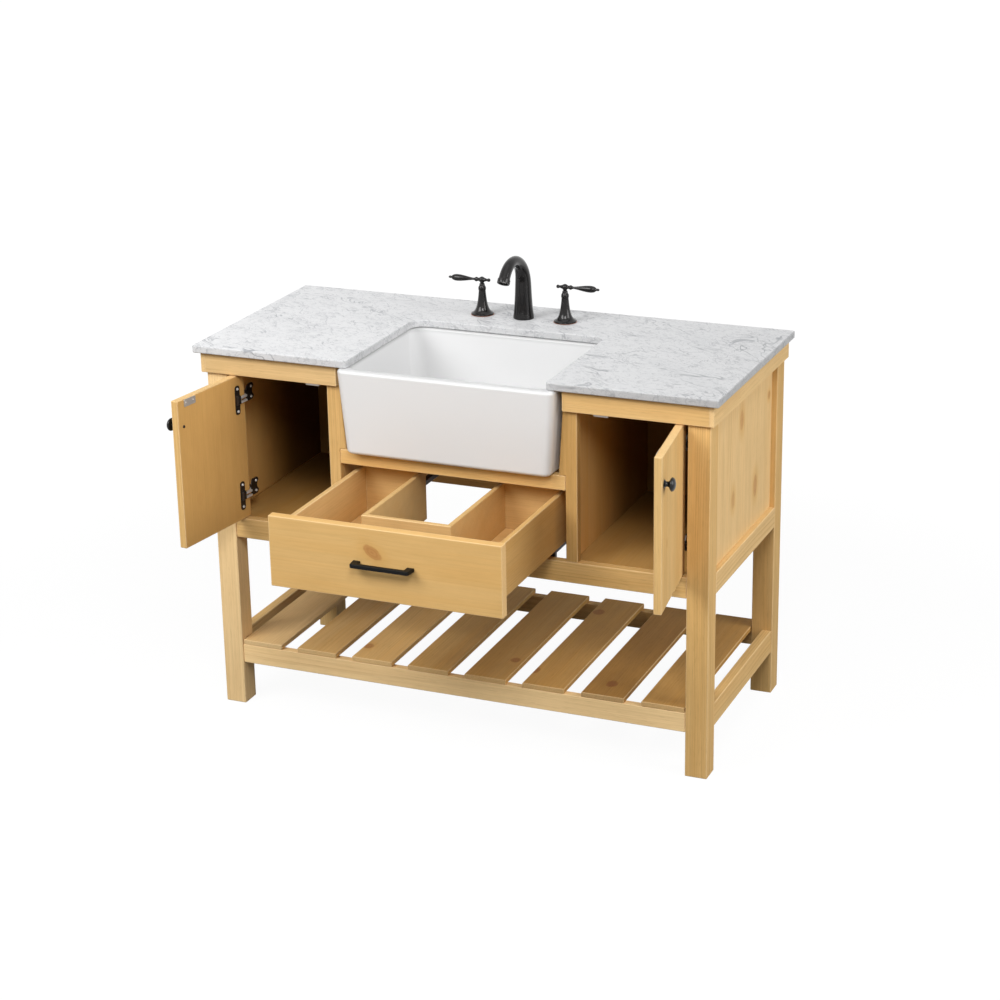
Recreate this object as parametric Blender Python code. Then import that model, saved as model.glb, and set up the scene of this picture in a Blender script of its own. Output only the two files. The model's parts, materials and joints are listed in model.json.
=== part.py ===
import math

import bmesh
import bpy

for thing in list(bpy.data.objects):
    bpy.data.objects.remove(thing, do_unlink=True)

# Running clearance between pieces that rest on or against each other.
FIT = 0.0003
# Easing of the sawn edges of the boards.
EASE = 0.0013

# Stone top, cut out round the basin and open at the front.
TOP_WIDTH = 1.219
TOP_DEPTH = 0.5525
TOP_HEIGHT = 0.865
TOP_THICK = 0.017
TOP_ARRIS = 0.0025
TOP_CORNER = 0.004
TOP_OVERHANG = 0.0135
CUTOUT_REVEAL = 0.006
CUTOUT_RADIUS = 0.030
CUTOUT_LIP_RADIUS = 0.008

# Trim band under the stone.
TRIM_PROUD = 0.009
TRIM_HEIGHT = 0.047

# Legs and the face frame between them.
LEG_SIZE = 0.050
FACE_RECESS = 0.002
FRAME_THICK = 0.020
STILE_WIDTH = 0.0265
STILE_CLEAR = 0.0130
SINK_RAIL_HEIGHT = 0.0332
DRAWER_OPENING = 0.161
BASE_RAIL_HEIGHT = 0.0475
BACK_RAIL_INSET = 0.014

# Panels.
PANEL_THICK = 0.012
PANEL_RECESS = 0.013
SIDE_RAIL_THICK = 0.022
BACK_PANEL_THICK = 0.006
PARTITION_STEP = 0.0005
PLUMBING_SIDE = 0.0755
PLUMBING_SILL = 0.0395
PLUMBING_HEAD = 0.021

# Slatted shelf.
SLAT_COUNT = 8
SLAT_WIDTH = 0.099
SLAT_THICK = 0.0117
SLAT_END_GAP = 0.0017
SHELF_TOP = 0.160
SHELF_RAIL_HEIGHT = 0.045
SHELF_SIDE_DROP = 0.003
SHELF_SIDE_RECESS = 0.0023

# Apron-front basin: tapers downwards, and its apron leans.
SINK_TOP_HALF = 0.2525
SINK_TAPER = 0.013
SINK_HEIGHT = 0.193
SINK_GAP = 0.0106
APRON_PROUD = 0.036
APRON_LEAN = 0.010
SINK_BACK_WALL = 0.024
SINK_CORNER = 0.018
SINK_BACK_CORNER = 0.020
SINK_HEEL = 0.009
SINK_RIM = 0.007
BOWL_SIDE_WALL = 0.0155
BOWL_FRONT_WALL = 0.025
BOWL_SETBACK = 0.192
BOWL_CORNER = 0.032
BOWL_DRAFT = 0.006
BOWL_FILLET = 0.030
BASE_THICK = 0.020
DRAIN_RADIUS = 0.0225
DRAIN_SEAT = 0.044
DRAIN_SLOPE = 0.008
DRAIN_DIP = 0.004

# Doors, hung inside the opening on pivots set in from the edge.
REVEAL = 0.002
DOOR_THICK = 0.017
DOOR_REST_DEG = 97.5
PIVOT_EDGE = 0.015
PIVOT_SETBACK = 0.0065
HINGE_INSET = 0.056
KNOB_EDGE = 0.018
KNOB_DROP = 0.0605
KNOB_RADIUS = 0.0145
KNOB_REACH = 0.024
PIN_RADIUS = 0.0015
PIN_HALF = 0.013
EYE_RADIUS = 0.0035
ARM_THICK = 0.004
ARM_HALF = 0.005
ARM_REACH = 0.034
ARM_TURN = 0.006
PLATE_THICK = 0.0025
PLATE_HALF = 0.019
PLATE_DEPTH = 0.024
POCKET_SKIN = 0.0021
POCKET_CLEAR = 0.0015

# Drawer, with a notch behind for the waste pipe.
DRAWER_SHORT = 0.115
DRAWER_HELD = 0.067
DRAWER_FRONT_THICK = 0.022
DRAWER_SIDE_IN = 0.0195
DRAWER_WALL = 0.0115
DRAWER_WALL_LOW = 0.021
DRAWER_WALL_TOP = 0.0175
DRAWER_FLOOR_UP = 0.0055
DRAWER_FLOOR_THICK = 0.008
NOTCH_HALF = 0.091
NOTCH_FRONT = 0.1115
SLIDE_SIDE = 0.0015
SLIDE_WIDTH = 0.016
SLIDE_RAIL_THICK = 0.011
RUNNER_THICK = 0.0132
SLIDE_START = 0.002
SLIDE_FOOT = 0.014
SLIDE_FOOT_DROP = 0.014
RUNNER_WIDTH = 0.012
RUNNER_TAIL = 0.058
HANDLE_CENTRES = 0.1180
HANDLE_FOOT = 0.020
HANDLE_REACH = 0.026
HANDLE_BAR = 0.010
HANDLE_HEIGHT = 0.009
HANDLE_UP = 0.0015

# Tap set.
TAP_SETBACK = 0.103
TAP_SPREAD = 0.2032
TAP_HOLE = 0.0135
SHANK_RADIUS = 0.0115
SHANK_DROP = 0.036
SPOUT_FOOT = 0.024
SPOUT_MOUTH = 0.0145
SPOUT_LIP = 0.010
SPOUT_RISE = 0.085
SPOUT_BEND = 0.060
SPOUT_SWEEP_DEG = 145.0
SPOUT_RUN = 0.003
VALVE_RIM = 0.0265
VALVE_RISE = 0.0735
LEVER_HUB = 0.0073
LEVER_LENGTH = 0.083
LEVER_GRIP = 0.008

SIDES = (("left", -1), ("right", 1))

CARCASS_HALF = TOP_WIDTH / 2 - TOP_OVERHANG - TRIM_PROUD
CARCASS_DEPTH = TOP_DEPTH - TOP_OVERHANG - TRIM_PROUD
TOP_FRONT = -TOP_OVERHANG - TRIM_PROUD
UNDER = TOP_HEIGHT - TOP_THICK
SEAT = UNDER - FIT
TRIM_LOW = UNDER - TRIM_HEIGHT
LEG_IN = CARCASS_HALF - LEG_SIZE
BACK_LEG = CARCASS_DEPTH - LEG_SIZE
FRAME_BACK = FACE_RECESS + FRAME_THICK
SINK_BOTTOM_HALF = SINK_TOP_HALF - SINK_TAPER
BOWL_HALF = SINK_TOP_HALF - BOWL_SIDE_WALL
BOWL_BACK = CARCASS_DEPTH - BOWL_SETBACK
CUTOUT_HALF = BOWL_HALF - CUTOUT_REVEAL
CUTOUT_BACK = BOWL_BACK
APRON_TOP_Y = -APRON_PROUD
APRON_BOTTOM_Y = APRON_TOP_Y + APRON_LEAN
STILE_IN = SINK_TOP_HALF + STILE_CLEAR
STILE_OUT = STILE_IN + STILE_WIDTH
SINK_LOW = UNDER - SINK_HEIGHT
SINK_RAIL_TOP = SINK_LOW - FIT
SINK_RAIL_LOW = SINK_RAIL_TOP - SINK_RAIL_HEIGHT
BASE_RAIL_TOP = SINK_RAIL_LOW - DRAWER_OPENING
BASE_RAIL_LOW = BASE_RAIL_TOP - BASE_RAIL_HEIGHT
BACK_RAIL_BACK = CARCASS_DEPTH - BACK_RAIL_INSET
BACK_RAIL_FRONT = BACK_RAIL_BACK - FRAME_THICK
BACK_PANEL_BACK = BACK_RAIL_FRONT - FIT
BACK_PANEL_FRONT = BACK_PANEL_BACK - BACK_PANEL_THICK
PANEL_OUT = CARCASS_HALF - PANEL_RECESS
PANEL_IN = PANEL_OUT - PANEL_THICK
PARTITION_IN = STILE_IN + PARTITION_STEP
PARTITION_OUT = PARTITION_IN + PANEL_THICK
FLOOR_LOW = BASE_RAIL_TOP - PANEL_THICK
PLUMBING_HALF = STILE_IN - PLUMBING_SIDE
PLUMBING_LOW = BASE_RAIL_TOP + PLUMBING_SILL
PLUMBING_HIGH = TRIM_LOW - PLUMBING_HEAD
TAP_Y = CARCASS_DEPTH - TAP_SETBACK
DRAWER_LENGTH = CARCASS_DEPTH - FACE_RECESS - DRAWER_SHORT
DRAWER_OUT = DRAWER_LENGTH - DRAWER_HELD
DOOR_WIDTH = LEG_IN - STILE_OUT - 2 * REVEAL
DOOR_LOW = BASE_RAIL_TOP + REVEAL
DOOR_HIGH = TRIM_LOW - REVEAL
PIVOT_X = LEG_IN - REVEAL - PIVOT_EDGE
PIVOT_Y = FACE_RECESS + PIVOT_SETBACK
DRAWER_HALF = STILE_IN - REVEAL
DRAWER_LOW = BASE_RAIL_TOP + REVEAL
DRAWER_HIGH = SINK_RAIL_LOW - REVEAL
BOX_HALF = DRAWER_HALF - DRAWER_SIDE_IN
BOX_IN = BOX_HALF - DRAWER_WALL
BOX_FRONT = FACE_RECESS + DRAWER_FRONT_THICK + FIT
BOX_BACK = FACE_RECESS + DRAWER_LENGTH
BOX_LOW = DRAWER_LOW + DRAWER_WALL_LOW
BOX_TOP = DRAWER_HIGH - DRAWER_WALL_TOP
TRAY_LOW = BOX_LOW + DRAWER_FLOOR_UP
SLIDE_SEAM = TRAY_LOW - FIT - RUNNER_THICK
SLIDE_IN = BOX_IN - SLIDE_SIDE - SLIDE_WIDTH
HANDLE_Z = (DRAWER_LOW + DRAWER_HIGH) / 2 + HANDLE_UP
FRONT_MOST = FACE_RECESS - DRAWER_OUT - HANDLE_REACH
Y_MID = (FRONT_MOST + CARCASS_DEPTH) / 2

COLOURS = {
    "pine": ((0.60, 0.38, 0.15, 1), 0.45, 0.0),
    "stone": ((0.80, 0.80, 0.80, 1), 0.20, 0.0),
    "ceramic": ((0.90, 0.90, 0.88, 1), 0.08, 0.0),
    "bronze": ((0.03, 0.024, 0.02, 1), 0.25, 1.0),
    "black": ((0.02, 0.02, 0.02, 1), 0.35, 0.6),
    "steel": ((0.60, 0.60, 0.60, 1), 0.30, 1.0),
}


def empty(name, place, turn=0.0, parent=None):
    made = bpy.data.objects.new(name, None)
    made.location = place
    made.rotation_euler = (0.0, 0.0, turn)
    made.parent = parent
    bpy.context.collection.objects.link(made)
    return made


def solid(name, shape, kind, parent, smooth=False):
    bmesh.ops.recalc_face_normals(shape, faces=shape.faces[:])
    mesh = bpy.data.meshes.new(name)
    shape.to_mesh(mesh)
    shape.free()
    made = bpy.data.objects.new(name, mesh)
    made.parent = parent
    bpy.context.collection.objects.link(made)
    if smooth:
        for face in mesh.polygons:
            face.use_smooth = True
        mesh.set_sharp_from_angle(angle=math.radians(38))
    colour, rough, metal = COLOURS[kind]
    look = bpy.data.materials.new(name + "_" + kind)
    look.use_nodes = True
    shader = look.node_tree.nodes["Principled BSDF"]
    shader.inputs["Base Color"].default_value = colour
    shader.inputs["Roughness"].default_value = rough
    shader.inputs["Metallic"].default_value = metal
    mesh.materials.append(look)
    return made


def hidden(made):
    made.hide_render = True
    made.display_type = "WIRE"
    return made


def joined(target, other, operation):
    step = target.modifiers.new(operation.lower() + "_" + other.name, "BOOLEAN")
    step.operation = operation
    step.solver = "EXACT"
    step.object = hidden(other)


def block(low, high, ease=0.0, steps=1):
    shape = bmesh.new()
    bmesh.ops.create_cube(shape, size=1.0)
    for corner in shape.verts:
        for axis in range(3):
            first, last = sorted((low[axis], high[axis]))
            corner.co[axis] = last if corner.co[axis] > 0 else first
    if ease:
        bmesh.ops.bevel(
            shape,
            geom=shape.edges[:],
            offset=ease,
            offset_type="OFFSET",
            segments=steps,
            profile=0.5,
            affect="EDGES",
            material=-1,
        )
    return shape


def board(name, low, high, parent, ease=EASE, steps=1):
    return solid(name, block(low, high, ease, steps), "pine", parent)


def loft(rings, around=False):
    shape = bmesh.new()
    rows = [[shape.verts.new(point) for point in ring] for ring in rings]
    count = len(rows[0])
    pairs = list(zip(rows, rows[1:]))
    if around:
        pairs.append((rows[-1], rows[0]))
    for first, second in pairs:
        for i in range(count):
            j = (i + 1) % count
            shape.faces.new((first[i], first[j], second[j], second[i]))
    if not around:
        shape.faces.new(rows[0])
        shape.faces.new(rows[-1])
    return shape


def area(outline):
    total = 0.0
    for (ax, ay), (bx, by) in zip(outline, outline[1:] + outline[:1]):
        total += ax * by - bx * ay
    return total / 2


def inset(outline, depth):
    """Moves every edge of a closed outline inwards by depth."""
    turn = 1 if area(outline) > 0 else -1
    count = len(outline)
    moved = []
    for i, (x, y) in enumerate(outline):
        px, py = outline[i - 1]
        nx, ny = outline[(i + 1) % count]
        before = math.hypot(x - px, y - py)
        after = math.hypot(nx - x, ny - y)
        ax, ay = -(y - py) / before * turn, (x - px) / before * turn
        bx, by = -(ny - y) / after * turn, (nx - x) / after * turn
        share = depth / (1 + ax * bx + ay * by)
        moved.append((x + (ax + bx) * share, y + (ay + by) * share))
    return moved


def rounded(corners, steps=5):
    """Closed outline from corners given as x, y and fillet radius."""
    outline = []
    count = len(corners)
    for i, (x, y, radius) in enumerate(corners):
        if radius <= 0:
            outline.append((x, y))
            continue
        px, py, _ = corners[i - 1]
        nx, ny, _ = corners[(i + 1) % count]
        back, ahead = math.atan2(py - y, px - x), math.atan2(ny - y, nx - x)
        half = math.remainder(ahead - back, 2 * math.pi) / 2
        reach = radius / abs(math.sin(half))
        cx, cy = x + reach * math.cos(back + half), y + reach * math.sin(back + half)
        swing = math.copysign(math.pi / 2, half) - half
        facing = back + half + math.pi
        for k in range(steps + 1):
            a = facing + swing * (1 - 2 * k / steps)
            outline.append((cx + radius * math.cos(a), cy + radius * math.sin(a)))
    return outline


def prism(outline, low, high, axis, ease):
    """Outline drawn out along an axis, with both end arrises eased."""
    place = {
        "X": lambda u, v, w: (w, u, v),
        "Y": lambda u, v, w: (u, w, v),
        "Z": lambda u, v, w: (u, v, w),
    }[axis]
    low, high = sorted((low, high))
    small = inset(outline, ease)
    stages = ((small, low), (outline, low + ease), (outline, high - ease), (small, high))
    return loft([[place(u, v, w) for u, v in ring] for ring, w in stages])


def turned(profile, sides=24):
    """Radius and height pairs turned about Z."""
    rings = []
    for radius, height in profile:
        ring = []
        for i in range(sides):
            a = 2 * math.pi * i / sides
            ring.append((radius * math.cos(a), radius * math.sin(a), height))
        rings.append(ring)
    return loft(rings)


def laid(shape, place, axis="Z", way=1):
    """Lays a turned shape's axis along X or Y, then moves it to its place."""
    for point in shape.verts:
        x, y, z = point.co
        if axis == "X":
            x, y, z = z * way, y, x
        if axis == "Y":
            x, y, z = x, z * way, y
        point.co = (x + place[0], y + place[1], z + place[2])
    return shape


def ball(radius, first, last, steps, centre):
    """Profile of part of a ball, from one polar angle to another."""
    rows = []
    for k in range(steps + 1):
        a = math.radians(first + (last - first) * k / steps)
        rows.append((radius * math.sin(a), centre - radius * math.cos(a)))
    return rows


cabinet = empty("cabinet", (0.0, -Y_MID, 0.0))
drawer = empty("drawer", (0.0, -DRAWER_OUT, 0.0), 0.0, cabinet)
doors = {}
levers = {}
for side, s in SIDES:
    swing = s * math.radians(DOOR_REST_DEG)
    doors[side] = empty("door_pivot_" + side, (s * PIVOT_X, PIVOT_Y, 0.0), swing, cabinet)
    levers[side] = empty("lever_pivot_" + side, (s * TAP_SPREAD / 2, TAP_Y, 0.0), 0.0, cabinet)


# Stone top.
half = TOP_WIDTH / 2
top_back = TOP_FRONT + TOP_DEPTH
top_outline = rounded(
    [
        (-half, TOP_FRONT, TOP_CORNER),
        (-CUTOUT_HALF, TOP_FRONT, CUTOUT_LIP_RADIUS),
        (-CUTOUT_HALF, CUTOUT_BACK, CUTOUT_RADIUS),
        (CUTOUT_HALF, CUTOUT_BACK, CUTOUT_RADIUS),
        (CUTOUT_HALF, TOP_FRONT, CUTOUT_LIP_RADIUS),
        (half, TOP_FRONT, TOP_CORNER),
        (half, top_back, TOP_CORNER),
        (-half, top_back, TOP_CORNER),
    ]
)
countertop = solid(
    "countertop", prism(top_outline, UNDER, TOP_HEIGHT, "Z", TOP_ARRIS), "stone", cabinet
)
for label, x in (("spout", 0.0), ("left", -TAP_SPREAD / 2), ("right", TAP_SPREAD / 2)):
    drill = laid(turned([(TAP_HOLE, UNDER - 0.01), (TAP_HOLE, TOP_HEIGHT + 0.01)]), (x, TAP_Y, 0))
    joined(countertop, solid("tap_hole_" + label, drill, "steel", cabinet), "DIFFERENCE")


# Basin, one shell from the heel up over the rim and down to the waste hole.
def oblong(width, front, back, near, far, z, steps=6):
    corners = (
        (-width, front, near),
        (width, front, near),
        (width, back, far),
        (-width, back, far),
    )
    return [(x, y, z) for x, y in rounded(corners, steps)]


SINK_BACK = BOWL_BACK + SINK_BACK_WALL


def outer_ring(z, shrink):
    share = (z - SINK_LOW) / (SEAT - SINK_LOW)
    width = SINK_BOTTOM_HALF + (SINK_TOP_HALF - SINK_BOTTOM_HALF) * share - shrink
    front = APRON_BOTTOM_Y + (APRON_TOP_Y - APRON_BOTTOM_Y) * share + shrink
    near = max(SINK_CORNER - shrink, 0.002)
    far = max(SINK_BACK_CORNER - shrink, 0.002)
    return oblong(width, front, SINK_BACK - shrink, near, far, z)


def inner_ring(z, shrink):
    front = APRON_TOP_Y + BOWL_FRONT_WALL + shrink
    corner = max(BOWL_CORNER - shrink * 0.2, 0.004)
    return oblong(BOWL_HALF - shrink, front, BOWL_BACK - shrink, corner, corner, z)


basin_floor = SINK_LOW + BASE_THICK + DRAIN_DIP
drain_y = (APRON_TOP_Y + BOWL_FRONT_WALL + BOWL_BACK) / 2
rings = []
for k in range(5):
    a = math.radians(22.5 * k)
    rings.append(outer_ring(SINK_LOW + SINK_HEEL * (1 - math.cos(a)), SINK_HEEL * (1 - math.sin(a))))
for k in range(5):
    a = math.radians(22.5 * k)
    rings.append(outer_ring(SEAT - SINK_RIM * (1 - math.sin(a)), SINK_RIM * (1 - math.cos(a))))
for k in range(4):
    a = math.radians(30.0 * k)
    rings.append(inner_ring(SEAT - SINK_RIM * (1 - math.cos(a)), -SINK_RIM * (1 - math.sin(a))))
for k in range(5):
    a = math.radians(22.5 * k)
    drop = basin_floor + BOWL_FILLET * (1 - math.sin(a))
    rings.append(inner_ring(drop, BOWL_DRAFT + BOWL_FILLET * (1 - math.cos(a))))


def round_ring(like, radius, z):
    ring = []
    for x, y, _ in like:
        a = math.atan2(y - drain_y, x)
        ring.append((radius * math.cos(a), drain_y + radius * math.sin(a), z))
    return ring


base = rings[-1]
seat_z = basin_floor - DRAIN_DIP
rings.append(round_ring(base, DRAIN_SEAT + DRAIN_SLOPE, basin_floor - DRAIN_DIP * 0.4))
rings.append(round_ring(base, DRAIN_SEAT, seat_z))
rings.append(round_ring(base, DRAIN_RADIUS, seat_z))
rings.append(round_ring(base, DRAIN_RADIUS, SINK_LOW))
solid("sink_basin", loft(rings, around=True), "ceramic", cabinet, smooth=True)


# Tap set: spout, valves and levers stand on the stone, with their shanks through it.
deck = TOP_HEIGHT + FIT
spout_top = TOP_HEIGHT + SPOUT_RISE


def spout_ring(y, z, lean, radius, sides=20):
    ring = []
    for i in range(sides):
        a = 2 * math.pi * i / sides
        across, along = radius * math.cos(a), radius * math.sin(a)
        ring.append((across, y + along * math.cos(lean), z + along * math.sin(lean)))
    return ring


rings = [
    spout_ring(TAP_Y, UNDER - SHANK_DROP, 0.0, SHANK_RADIUS),
    spout_ring(TAP_Y, deck, 0.0, SHANK_RADIUS),
    spout_ring(TAP_Y, deck, 0.0, SPOUT_FOOT * 0.98),
]
neck = SPOUT_FOOT * 0.76
throat = SPOUT_MOUTH * 0.85
for rise, share in (
    (0.05, 1.00),
    (0.10, 0.95),
    (0.24, 0.90),
    (0.45, 0.85),
    (0.69, 0.80),
    (1.00, 0.76),
):
    z = deck + (spout_top - deck) * rise
    rings.append(spout_ring(TAP_Y, z, 0.0, SPOUT_FOOT * share))
steps = 14
bend = math.radians(SPOUT_SWEEP_DEG)
for k in range(1, steps + 1):
    a = bend * k / steps
    thin = min(k / steps / 0.62, 1.0)
    flare = max(k / steps - 0.62, 0.0) / 0.38
    radius = neck + (throat - neck) * thin + SPOUT_MOUTH * 0.08 * flare
    y = TAP_Y - SPOUT_BEND * (1 - math.cos(a))
    rings.append(spout_ring(y, spout_top + SPOUT_BEND * math.sin(a), a, radius))
end_y = TAP_Y - SPOUT_BEND * (1 - math.cos(bend))
end_z = spout_top + SPOUT_BEND * math.sin(bend)
for run, share in (
    (SPOUT_RUN, 0.93),
    (SPOUT_RUN, 1.00),
    (SPOUT_RUN + SPOUT_LIP, 1.00),
    (SPOUT_RUN + SPOUT_LIP, 0.72),
    (SPOUT_RUN + SPOUT_LIP * 0.3, 0.72),
):
    y = end_y - run * math.sin(bend)
    z = end_z + run * math.cos(bend)
    rings.append(spout_ring(y, z, bend, SPOUT_MOUTH * share))
solid("spout", loft(rings), "bronze", cabinet, smooth=True)

valve_profile = [(SHANK_RADIUS, UNDER - SHANK_DROP), (SHANK_RADIUS, deck)]
for share, rise in (
    (0.96, 0.0),
    (1.00, 0.027),
    (0.96, 0.054),
    (0.80, 0.082),
    (0.67, 0.122),
    (0.52, 0.218),
    (0.43, 0.327),
    (0.385, 0.463),
    (0.33, 0.626),
    (0.302, 0.776),
    (0.325, 0.816),
    (0.330, 0.857),
    (0.300, 0.898),
    (0.235, 0.939),
    (0.225, 1.0),
):
    valve_profile.append((VALVE_RIM * share, deck + VALVE_RISE * rise))
lever_z = deck + VALVE_RISE + FIT + LEVER_HUB
stem_radius = LEVER_HUB * 0.71
lever_profile = ball(LEVER_HUB * 0.58, 10, 150, 5, -LEVER_HUB * 2.26)
lever_profile += ball(LEVER_HUB, 18, 152, 7, 0.0)
for share, run in (
    (0.45, 0.114),
    (0.65, 0.157),
    (0.675, 0.181),
    (0.50, 0.205),
    (0.31, 0.241),
    (0.40, 0.33),
    (0.65, 0.46),
    (0.875, 0.58),
    (1.00, 0.70),
    (0.96, 0.79),
    (0.775, 0.86),
    (0.45, 0.90),
    (0.30, 0.915),
    (0.375, 0.945),
    (0.325, 0.98),
    (0.15, 1.0),
):
    lever_profile.append((LEVER_GRIP * share, LEVER_LENGTH * run))
for side, s in SIDES:
    body = laid(turned(valve_profile), (s * TAP_SPREAD / 2, TAP_Y, 0.0))
    solid("valve_base_" + side, body, "bronze", cabinet, smooth=True)
    grip = laid(turned(lever_profile, 20), (0.0, 0.0, lever_z), "X", s)
    lever = solid("lever_" + side, grip, "bronze", levers[side], smooth=True)
    stem = turned([(stem_radius, lever_z - LEVER_HUB), (stem_radius, lever_z)], 20)
    joined(lever, solid("lever_stem_" + side, stem, "bronze", levers[side]), "UNION")


# Legs and trim band.
for side, s in SIDES:
    for end, near in (("front", 0.0), ("back", BACK_LEG)):
        board(
            "leg_" + end + "_" + side,
            (s * LEG_IN, near, 0.0),
            (s * CARCASS_HALF, near + LEG_SIZE, SEAT),
            cabinet,
            0.002,
            2,
        )
    trim_end = SINK_TOP_HALF + SINK_GAP
    front_outline = [
        (s * trim_end, -TRIM_PROUD),
        (s * CARCASS_HALF, -TRIM_PROUD),
        (s * CARCASS_HALF, -FIT),
        (s * (LEG_IN - FIT), -FIT),
        (s * (LEG_IN - FIT), FRAME_BACK),
        (s * (STILE_OUT + FIT), FRAME_BACK),
        (s * (STILE_OUT + FIT), FACE_RECESS - FIT),
        (s * trim_end, FACE_RECESS - FIT),
    ]
    solid(
        "trim_front_" + side,
        prism(front_outline, TRIM_LOW, SEAT, "Z", EASE),
        "pine",
        cabinet,
    )
    side_outline = [
        (s * (CARCASS_HALF + FIT), -TRIM_PROUD),
        (s * (CARCASS_HALF + TRIM_PROUD), -TRIM_PROUD),
        (s * (CARCASS_HALF + TRIM_PROUD), CARCASS_DEPTH),
        (s * (CARCASS_HALF + FIT), CARCASS_DEPTH),
        (s * (CARCASS_HALF + FIT), BACK_LEG - FIT),
        (s * PANEL_IN, BACK_LEG - FIT),
        (s * PANEL_IN, LEG_SIZE + FIT),
        (s * (CARCASS_HALF + FIT), LEG_SIZE + FIT),
    ]
    solid(
        "trim_side_" + side,
        prism(side_outline, TRIM_LOW, SEAT, "Z", EASE),
        "pine",
        cabinet,
    )


# Face frame and rails.
def sink_half(z):
    share = (z - SINK_LOW) / (SEAT - SINK_LOW)
    return SINK_BOTTOM_HALF + (SINK_TOP_HALF - SINK_BOTTOM_HALF) * share


for side, s in SIDES:
    ear = SINK_RAIL_TOP + FIT
    stile_outline = [
        (s * STILE_OUT, BASE_RAIL_TOP + FIT),
        (s * STILE_OUT, SEAT),
        (s * (sink_half(SEAT) + SINK_GAP), SEAT),
        (s * (sink_half(ear) + SINK_GAP), ear),
        (s * STILE_IN, ear),
        (s * STILE_IN, BASE_RAIL_TOP + FIT),
    ]
    solid(
        "stile_" + side,
        prism(stile_outline, FACE_RECESS, FRAME_BACK, "Y", EASE),
        "pine",
        cabinet,
    )
span = LEG_IN - FIT
board(
    "sink_rail",
    (-STILE_IN + FIT, FACE_RECESS, SINK_RAIL_LOW),
    (STILE_IN - FIT, FRAME_BACK, SINK_RAIL_TOP),
    cabinet,
)
board(
    "bottom_front_rail",
    (-span, FACE_RECESS, BASE_RAIL_LOW),
    (span, FRAME_BACK, BASE_RAIL_TOP),
    cabinet,
)
board(
    "bottom_back_rail",
    (-span, BACK_RAIL_FRONT, BASE_RAIL_LOW),
    (span, BACK_RAIL_BACK, BASE_RAIL_TOP),
    cabinet,
)
board("top_back_rail", (-span, BACK_RAIL_FRONT, TRIM_LOW), (span, BACK_RAIL_BACK, SEAT), cabinet)

# Sides, partitions, floors and back.
between = (LEG_SIZE + FIT, BACK_LEG - FIT)
for side, s in SIDES:
    board(
        "side_rail_" + side,
        (s * (CARCASS_HALF - SIDE_RAIL_THICK), between[0], BASE_RAIL_LOW),
        (s * CARCASS_HALF, between[1], BASE_RAIL_TOP),
        cabinet,
    )
    board(
        "side_panel_" + side,
        (s * PANEL_IN, between[0], BASE_RAIL_TOP + FIT),
        (s * PANEL_OUT, between[1], TRIM_LOW - FIT),
        cabinet,
        0.0006,
    )
    board(
        "partition_" + side,
        (s * PARTITION_IN, FRAME_BACK + FIT, FLOOR_LOW),
        (s * PARTITION_OUT, BACK_PANEL_FRONT - FIT, SEAT),
        cabinet,
        0.0006,
    )
    floor_outline = [
        (s * (PARTITION_OUT + FIT), FRAME_BACK + FIT),
        (s * (LEG_IN - FIT), FRAME_BACK + FIT),
        (s * (LEG_IN - FIT), between[0]),
        (s * (PANEL_IN - FIT), between[0]),
        (s * (PANEL_IN - FIT), between[1]),
        (s * (LEG_IN - FIT), between[1]),
        (s * (LEG_IN - FIT), BACK_PANEL_FRONT - FIT),
        (s * (PARTITION_OUT + FIT), BACK_PANEL_FRONT - FIT),
    ]
    solid(
        "floor_" + side,
        prism(floor_outline, FLOOR_LOW, BASE_RAIL_TOP, "Z", 0.0006),
        "pine",
        cabinet,
    )
back = board(
    "back_panel",
    (-span, BACK_PANEL_FRONT, FLOOR_LOW),
    (span, BACK_PANEL_BACK, SEAT),
    cabinet,
    0.0006,
)
window = block(
    (-PLUMBING_HALF, BACK_PANEL_FRONT - 0.01, PLUMBING_LOW),
    (PLUMBING_HALF, BACK_PANEL_BACK + 0.01, PLUMBING_HIGH),
)
joined(back, solid("plumbing_window", window, "steel", cabinet), "DIFFERENCE")

# Slatted shelf.
slat_low = SHELF_TOP - SLAT_THICK
rail_top = slat_low - FIT
rail_low = rail_top - SHELF_RAIL_HEIGHT
shelf_back = CARCASS_DEPTH - FACE_RECESS
board(
    "shelf_rail_front", (-span, FACE_RECESS, rail_low), (span, FRAME_BACK, rail_top), cabinet
)
board(
    "shelf_rail_back",
    (-span, shelf_back - FRAME_THICK, rail_low),
    (span, shelf_back, rail_top),
    cabinet,
)
for side, s in SIDES:
    rail_out = CARCASS_HALF - SHELF_SIDE_RECESS
    board(
        "shelf_rail_" + side,
        (s * (rail_out - SIDE_RAIL_THICK), between[0], rail_low),
        (s * rail_out, between[1], SHELF_TOP - SHELF_SIDE_DROP),
        cabinet,
    )
first = -(LEG_IN - SLAT_END_GAP) + SLAT_WIDTH / 2
pitch = -2 * first / (SLAT_COUNT - 1)
for i in range(SLAT_COUNT):
    middle = first + pitch * i
    board(
        "slat_" + str(i + 1),
        (middle - SLAT_WIDTH / 2, FACE_RECESS, slat_low),
        (middle + SLAT_WIDTH / 2, shelf_back, SHELF_TOP),
        cabinet,
    )

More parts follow.
